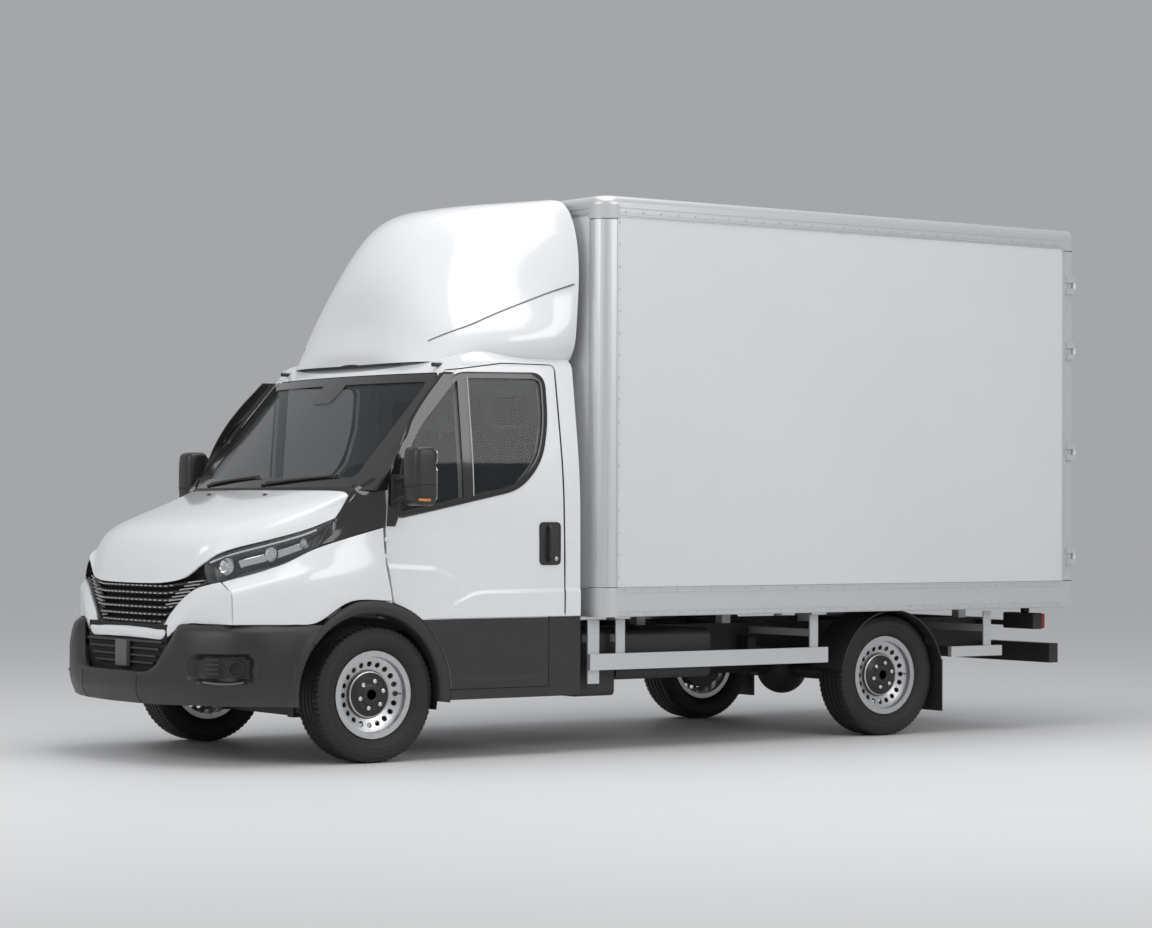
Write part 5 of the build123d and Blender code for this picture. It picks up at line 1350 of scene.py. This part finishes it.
def scattered(name, points, shape_mesh, direction, material, body=BODY, change=0.0):
    """Piece made of copies of a small mesh on points, standing along a direction."""
    shape = bpy.data.meshes.new(name + " shape")
    verts, faces = shape_mesh
    shape.from_pydata([tuple(v / 1000 for v in p) for p in verts], [], faces)
    for polygon in shape.polygons:
        polygon.use_smooth = True
    shape_obj = bpy.data.objects.new(name + " shape", shape)
    bpy.context.collection.objects.link(shape_obj)
    base = bpy.data.meshes.new(name + " points")
    base.from_pydata([place(*p) for p in points], [], [])
    holder = bpy.data.objects.new(name + " points", base)
    bpy.context.collection.objects.link(holder)
    modifier = holder.modifiers.new("copies", "NODES")
    modifier.node_group = SCATTER
    values = {
        "Shape": shape_obj, "Direction": direction, "Size": 1.0, "Size change": change,
        "Finish": material,
    }
    for item in SCATTER.interface.items_tree:
        if item.in_out == "INPUT" and item.name in values:
            modifier[item.identifier] = values[item.name]
    bpy.context.view_layer.update()
    made = bpy.data.meshes.new_from_object(holder.evaluated_get(bpy.context.evaluated_depsgraph_get()))
    made.name = name
    holder.modifiers.remove(modifier)
    bpy.data.objects.remove(holder)
    bpy.data.objects.remove(shape_obj)
    piece = bpy.data.objects.new(name, made)
    bpy.context.collection.objects.link(piece)
    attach(piece, body)
    return piece


rivet_head = lathe([(-1.5, 0), (-1.5, 6.5), (0.8, 6.2), (2.4, 4.2), (3.2, 0)], (0, 0, 0), 16, axis=2)
for side, name in ((1, "left"), (-1, "right")):
    rows = []
    for k in range(28):
        y = 1480 + k * 117.5
        rows += [(side * 1080, y, 858), (side * 1080, y + 20, 738), (side * 1080, y, 2876)]
    for k in range(17):
        z = 930 + k * 118
        rows += [(side * 1080, 1440, z), (side * 1080, 4728, z)]
    scattered(f"rivets_{name}", rows, rivet_head, (side, 0, 0), RIVET_METAL, change=0.08)
front_rows = []
for k in range(16):
    x = -940 + k * 125.3
    front_rows += [(x, 1326, 858), (x, 1326, 740), (x, 1326, 2876)]
for side in (1, -1):
    front_rows += [(side * 962, 1328, 930 + k * 118) for k in range(17)]
scattered("rivets_front", front_rows, rivet_head, (0, -1, 0), RIVET_METAL, change=0.08)
back_rows_of_rivets = []
for k in range(14):
    x = -880 + k * 135.4
    back_rows_of_rivets += [(x, 4787, 745), (x, 4787, 2880)]
scattered("rivets_rear", back_rows_of_rivets, rivet_head, (0, 1, 0), RIVET_METAL, change=0.08)

# Tyres with grooves, shoulder cuts and raised rings; they replace the plain ones of the part
TREAD_STEPS = 288
SHOULDER_CUTS = 72
tyre_profile = [
    # across the tyre, radius, depth that a shoulder cut takes away
    (72, 208, 0), (72, 222, 0), (82, 228, 0), (96, 240, 0), (106, 254, 0), (111, 268, 0),
    (112.5, 274, 0), (110.5, 277, 0), (112.5, 281, 0), (112.3, 296, 0), (110.6, 306, 0),
    (112, 309, 0), (109.5, 315, 0), (107, 322, 3), (103, 331, 5), (99, 339, 6), (92, 343.2, 6),
    (80, 344.2, 5), (62, 344.6, 4), (58, 344.6, 0), (57, 336.5, 0), (48, 336.5, 0),
    (47, 344.8, 0), (24, 345, 0), (23, 336.5, 0), (14, 336.5, 0), (13, 345, 0), (0, 345, 0),
]
full_profile = tyre_profile + [(-a, r, cut) for a, r, cut in reversed(tyre_profile[:-1])]


def tyre_mesh(centre):
    grid = []
    for along, radius, cut in full_profile:
        ring = []
        for k in range(TREAD_STEPS):
            angle = 2 * math.pi * k / TREAD_STEPS
            in_cut = (k + (2 if along < 0 else 0)) % (TREAD_STEPS // SHOULDER_CUTS) == 0
            r = radius - (cut if in_cut else 0)
            ring.append((centre[0] + along, centre[1] + r * math.cos(angle), centre[2] + r * math.sin(angle)))
        grid.append(ring)
    grid.append(grid[0])
    return grid_faces(np.array(grid), closed=True)


wheel_sites = [
    ("front_left", 862, 0), ("front_right", -862, 0), ("rear_left", 845, 3450), ("rear_right", -845, 3450),
]
NUT_CIRCLE = 70
NUT_COUNT = 6
nut_profile = [(-2, 0), (-2, 13.5), (9, 13.5), (12, 11), (13, 7), (13, 0)]
nut = lathe(nut_profile, (0, 0, 0), 6, axis=2)
for name, centre_x, centre_y in wheel_sites:
    centre = (centre_x, centre_y, 345)
    side = 1 if centre_x > 0 else -1
    body = f"wheel_{name}"
    finished(
        f"tread_{name}", tyre_mesh(centre), TYRE_RUBBER, body=body, stands_for=(f"tyre_{name}",),
        sharp=28,
    )
    cap_rows = [
        (28, 121), (36, 122), (42, 118), (50, 104), (58, 88), (61, 84), (61, 60), (66, 56),
        (69, 46), (70, 30),
        (67, 26), (67, 0),
    ]
    cap_shape = lathe([(side * (along), radius) for along, radius in cap_rows], centre, 72)
    finished(f"hub_cap_{name}", cap_shape, HUB_BLACK, body=body, sharp=30)
    nut_points = []
    for k in range(NUT_COUNT):
        angle = 2 * math.pi * (k + 0.25) / NUT_COUNT
        nut_points.append((
            centre_x + side * 60, centre_y + NUT_CIRCLE * math.cos(angle), 345 + NUT_CIRCLE * math.sin(angle),
        ))
    scattered(f"wheel_nuts_{name}", nut_points, nut, (side, 0, 0), NUT_METAL, body=body)
    valve_line = [(centre_x + side * 44, centre_y + 178, 345), (centre_x + side * 66, centre_y + 172, 345)]
    finished(f"valve_{name}", tube(valve_line, 4, 10, 1), BLACK_PLASTIC, body=body)
    lip_places = [(79, 223.5), (84.5, 223.5), (84.5, 219), (79, 219), (79, 223.5)]
    lip_ring = [(side * along, radius) for along, radius in lip_places]
    finished(f"rim_edge_{name}", lathe(lip_ring, centre, 96), WHEEL_SILVER, body=body, bevel=1)

# Seats: sculpted cushions with bolsters, backrests and head rests
def cushion(x0, x1, y0, y1, z0, z1, lean=0.0, crown=18, bolster=16):
    """Closed upholstered block with a crowned front face and raised sides, leaning rearwards."""
    grid = []
    across_steps, up_steps = 17, 21
    verts, faces = [], []
    for layer in (0, 1):
        for i in range(across_steps):
            u = i / (across_steps - 1)
            for j in range(up_steps):
                v = j / (up_steps - 1)
                edge = min(u, 1 - u, v, 1 - v)
                roll = 1 - (1 - min(edge / 0.12, 1)) ** 2
                side_rise = bolster * math.exp(-((min(u, 1 - u) - 0.14) / 0.07) ** 2)
                face_out = (crown * (1 - (2 * v - 1) ** 2) + side_rise) * roll + 24 * (roll - 1)
                x = x0 + (x1 - x0) * u
                z = z0 + (z1 - z0) * v
                shift_y = lean * (z - z0)
                y = (y0 - face_out if layer == 0 else y1 + 10 * (1 - roll)) + shift_y
                verts.append((x, y, z))
    count = across_steps * up_steps
    for i in range(across_steps - 1):
        for j in range(up_steps - 1):
            a = i * up_steps + j
            faces.append((a, a + 1, a + up_steps + 1, a + up_steps))
            faces.append((count + a, count + a + up_steps, count + a + up_steps + 1, count + a + 1))
    rim = [i * up_steps for i in range(across_steps)]
    rim += [(across_steps - 1) * up_steps + j for j in range(1, up_steps)]
    rim += [i * up_steps + up_steps - 1 for i in range(across_steps - 2, -1, -1)]
    rim += [j for j in range(up_steps - 2, 0, -1)]
    for a, b in zip(rim, rim[1:] + rim[:1]):
        faces.append((a, b, count + b, count + a))
    return verts, faces


def laid_flat(mesh_data, y0, z_top):
    """Cushion turned so that its crowned face looks up: height becomes length."""
    verts, faces = mesh_data
    return [(x, y0 + z, z_top - y) for x, y, z in verts], faces


seat_shapes, head_shapes, post_shapes = [], [], []
seat_places = [
    # middle X, width, head rest places
    (-460, 490, [-460]),
    (130, 436, [130]),
    (570, 436, [570]),
]
for middle, width, heads in seat_places:
    x0, x1 = middle - width / 2, middle + width / 2
    seat_shapes.append(cushion(x0, x1, 975, 1075, 1140, 1725, lean=0.13))
    flat = cushion(x0, x1, 0, 110, 0, 440, crown=14, bolster=18)
    seat_shapes.append(laid_flat(flat, 548, 1176))
    for head_x in heads:
        head_shapes.append(cushion(head_x - 118, head_x + 118, 1048, 1098, 1740, 1892, crown=12, bolster=0))
        for post_x in (head_x - 55, head_x + 55):
            post_shapes.append(tube([(post_x, 1082, 1690), (post_x, 1080, 1760)], 6, 10, 1))
base_parts = [brick(-690, -230, 580, 1060, 776, 1062), brick(-80, 790, 580, 1060, 776, 1062)]
finished("seat_cushions", joined(*seat_shapes), SEAT_CLOTH, stands_for=("cab_seats",), sharp=60, smooth=1)
finished("seat_head_rests", joined(*head_shapes), SEAT_CLOTH, sharp=60, smooth=1)
finished("seat_bases", joined(*base_parts), BLACK_PLASTIC, bevel=12)
finished("head_rest_posts", joined(*post_shapes), CHROME)

# Dashboard: top pad, instrument hood, screen, vents and a lower panel
dash_rows = []
for x in np.linspace(-852, 852, 15):
    hump = 26 * math.exp(-(((x + 460) / 210) ** 2))
    dash_rows.append([
        (x, -142, 1262), (x, -100, 1306), (x, 0, 1326 + 0.4 * hump), (x, 120, 1336 + hump),
        (x, 196, 1326 + hump), (x, 236, 1268), (x, 262, 1190), (x, 262, 1090), (x, 236, 1012),
    ])
dash = finished(
    "dashboard_pad", grid_faces(surface(dash_rows, 4)), DARK_TRIM, wall=14,
    stands_for=("dashboard",), bevel=2,
)
outward(dash, (0, -60, 1120))
finished("instrument_hood", brick(-610, -310, 150, 236, 1320, 1366), BLACK_PLASTIC, bevel=14)
finished("centre_screen", brick(-90, 150, 232, 250, 1190, 1330), BLACK_GLOSS, bevel=6)
vent_parts = []
for x in (-800, -200, 230, 780):
    for k in range(4):
        vent_parts.append(brick(x - 55, x + 55, 236, 262, 1236 + k * 16, 1242 + k * 16))
finished("air_vents", joined(*vent_parts), BLACK_PLASTIC, bevel=1.5)
finished("gear_console", brick(-180, -60, 190, 290, 1030, 1130), BLACK_PLASTIC, bevel=12)
lever_line = [(-120, 262, 1120), (-120, 288, 1180), (-120, 296, 1212)]
finished("gear_lever", tube(lever_line, 11, 14, 4), BLACK_PLASTIC)

# Inside lining: headliner, back wall, door cards and floor mat
back_wall = [
    [(x, 1176 - 18 * math.cos(x / 600), z) for x in np.linspace(-905, 905, 13)]
    for z in (790, 1100, 1400, 1700, 1960)
]
finished("cab_back_lining", grid_faces(surface(back_wall, 2)), LINING, wall=6, bevel=1)
liner_rows = []
for y, z in ((470, 1996), (640, 2040), (900, 2050), (1120, 2040), (1160, 1990)):
    liner_rows.append([(x, y, z - 0.00006 * x * x) for x in np.linspace(-800, 800, 11)])
finished("cab_headliner", grid_faces(surface(liner_rows, 3)), LINING, wall=6, bevel=1)
card = []
for i in range(24):
    y = 110 + i * (1010 / 23)
    belt_z = float(np.interp(y, [120, 850, 985, 1035], [1240, 1388, 1530, 1560]))
    card.append([
        (side_x(y, z) - 53 - 14 * smooth_step(z, 1040, 1080) * (1 - smooth_step(z, 1120, 1160)), y, z)
        for z in np.linspace(800, belt_z - 12, 24)
    ])
on_doors("door_card", grid_faces(np.array(card)), LINING_DARK, sheet=0, sharp=60)
finished("cab_floor_mat", brick(-880, 880, -120, 1140, 777, 784), SEAL_BLACK, bevel=2)

# Roof deflector: shadow line along each side
seam_places = [
    (946, 1240, 2485), (891, 1108, 2435), (848, 958, 2373), (813, 822, 2316), (773, 691, 2255),
    (705, 580, 2207), (641, 517, 2171),
]
finished("deflector_seams", mirrored_mesh(*tube(seam_places, 4.5, 10, 5)), SEAM_GREY)
foot_seal_line = [(0, 424, 2062), (420, 446, 2062), (640, 498, 2062), (735, 545, 2062)]
finished("deflector_foot_seal", mirrored_mesh(*tube(foot_seal_line, 5, 10, 5)), SEAL_BLACK)

# Floor, light and camera
BACKDROP_COLOUR = (0.372, 0.379, 0.391, 1)
FLOOR_PALE = Finish("studio floor", roughness=0.55)
floor_mask = FLOOR_PALE.effect(MOTTLE, "Scale", 0.4)
FLOOR_PALE.colour(FLOOR_PALE.between(floor_mask, grey(0.74), grey(0.72)))
floor_mesh = bpy.data.meshes.new("floor")
FLOOR_HALF = 60
floor_mesh.from_pydata(
    [
        (-FLOOR_HALF, -FLOOR_HALF, 0), (FLOOR_HALF, -FLOOR_HALF, 0),
        (FLOOR_HALF, FLOOR_HALF, 0), (-FLOOR_HALF, FLOOR_HALF, 0),
    ],
    [], [(0, 1, 2, 3)],
)
floor_mesh.materials.append(FLOOR_PALE.material)
floor = bpy.data.objects.new("floor", floor_mesh)
bpy.context.collection.objects.link(floor)

world = bpy.data.worlds.new("studio")
bpy.context.scene.world = world
world.use_nodes = True
world_tree = world.node_tree
sky = world_tree.nodes["Background"]
sky.inputs["Color"].default_value = (0.86, 0.88, 0.91, 1)
sky.inputs["Strength"].default_value = 0.55
backdrop = world_tree.nodes.new("ShaderNodeBackground")
backdrop.inputs["Color"].default_value = BACKDROP_COLOUR
light_path = world_tree.nodes.new("ShaderNodeLightPath")
seen = world_tree.nodes.new("ShaderNodeMixShader")
world_tree.links.new(light_path.outputs["Is Camera Ray"], seen.inputs["Fac"])
world_tree.links.new(sky.outputs[0], seen.inputs[1])
world_tree.links.new(backdrop.outputs[0], seen.inputs[2])
world_tree.links.new(seen.outputs[0], world_tree.nodes["World Output"].inputs["Surface"])


def soft_light(name, at, aim, size, power):
    data = bpy.data.lights.new(name, "AREA")
    data.shape = "RECTANGLE"
    data.size, data.size_y = size
    data.energy = power
    lamp = bpy.data.objects.new(name, data)
    lamp.location = at
    lamp.rotation_euler = (Vector(aim) - Vector(at)).to_track_quat("-Z", "Y").to_euler()
    bpy.context.collection.objects.link(lamp)


soft_light("overhead softbox", (1.0, -0.5, 7.5), (0.2, 0.0, 1.0), (5.0, 8.0), 290)
soft_light("front softbox", (1.5, -9.0, 4.5), (0.0, -2.0, 1.2), (5.0, 3.0), 165)
soft_light("side softbox", (8.5, 1.5, 4.5), (0.0, 0.5, 1.2), (6.0, 3.0), 170)

CAMERA_PLACE = (13.983, -9.9649, 1.2869)
CAMERA_YAW = math.radians(54.4528)
CAMERA_PITCH = math.radians(0.8672)
CAMERA_ROLL = math.radians(0.1997)
PHOTO_WIDTH = 1152
FOCAL_PIXELS = 3015.96
ahead = Vector((
    -math.sin(CAMERA_YAW) * math.cos(CAMERA_PITCH),
    math.cos(CAMERA_YAW) * math.cos(CAMERA_PITCH),
    math.sin(CAMERA_PITCH),
))
level = Vector((math.cos(CAMERA_YAW), math.sin(CAMERA_YAW), 0))
upward = level.cross(ahead)
right = level * math.cos(CAMERA_ROLL) + upward * math.sin(CAMERA_ROLL)
up = upward * math.cos(CAMERA_ROLL) - level * math.sin(CAMERA_ROLL)
camera_data = bpy.data.cameras.new("camera")
camera_data.sensor_width = 36
camera_data.sensor_fit = "HORIZONTAL"
camera_data.lens = 36 * FOCAL_PIXELS / PHOTO_WIDTH
camera_data.clip_end = 300
camera = bpy.data.objects.new("camera", camera_data)
turn = Matrix((right, up, -ahead)).transposed()
camera.matrix_world = Matrix.Translation(CAMERA_PLACE) @ turn.to_4x4()
bpy.context.collection.objects.link(camera)
bpy.context.scene.camera = camera
bpy.context.scene.view_settings.view_transform = "Standard"
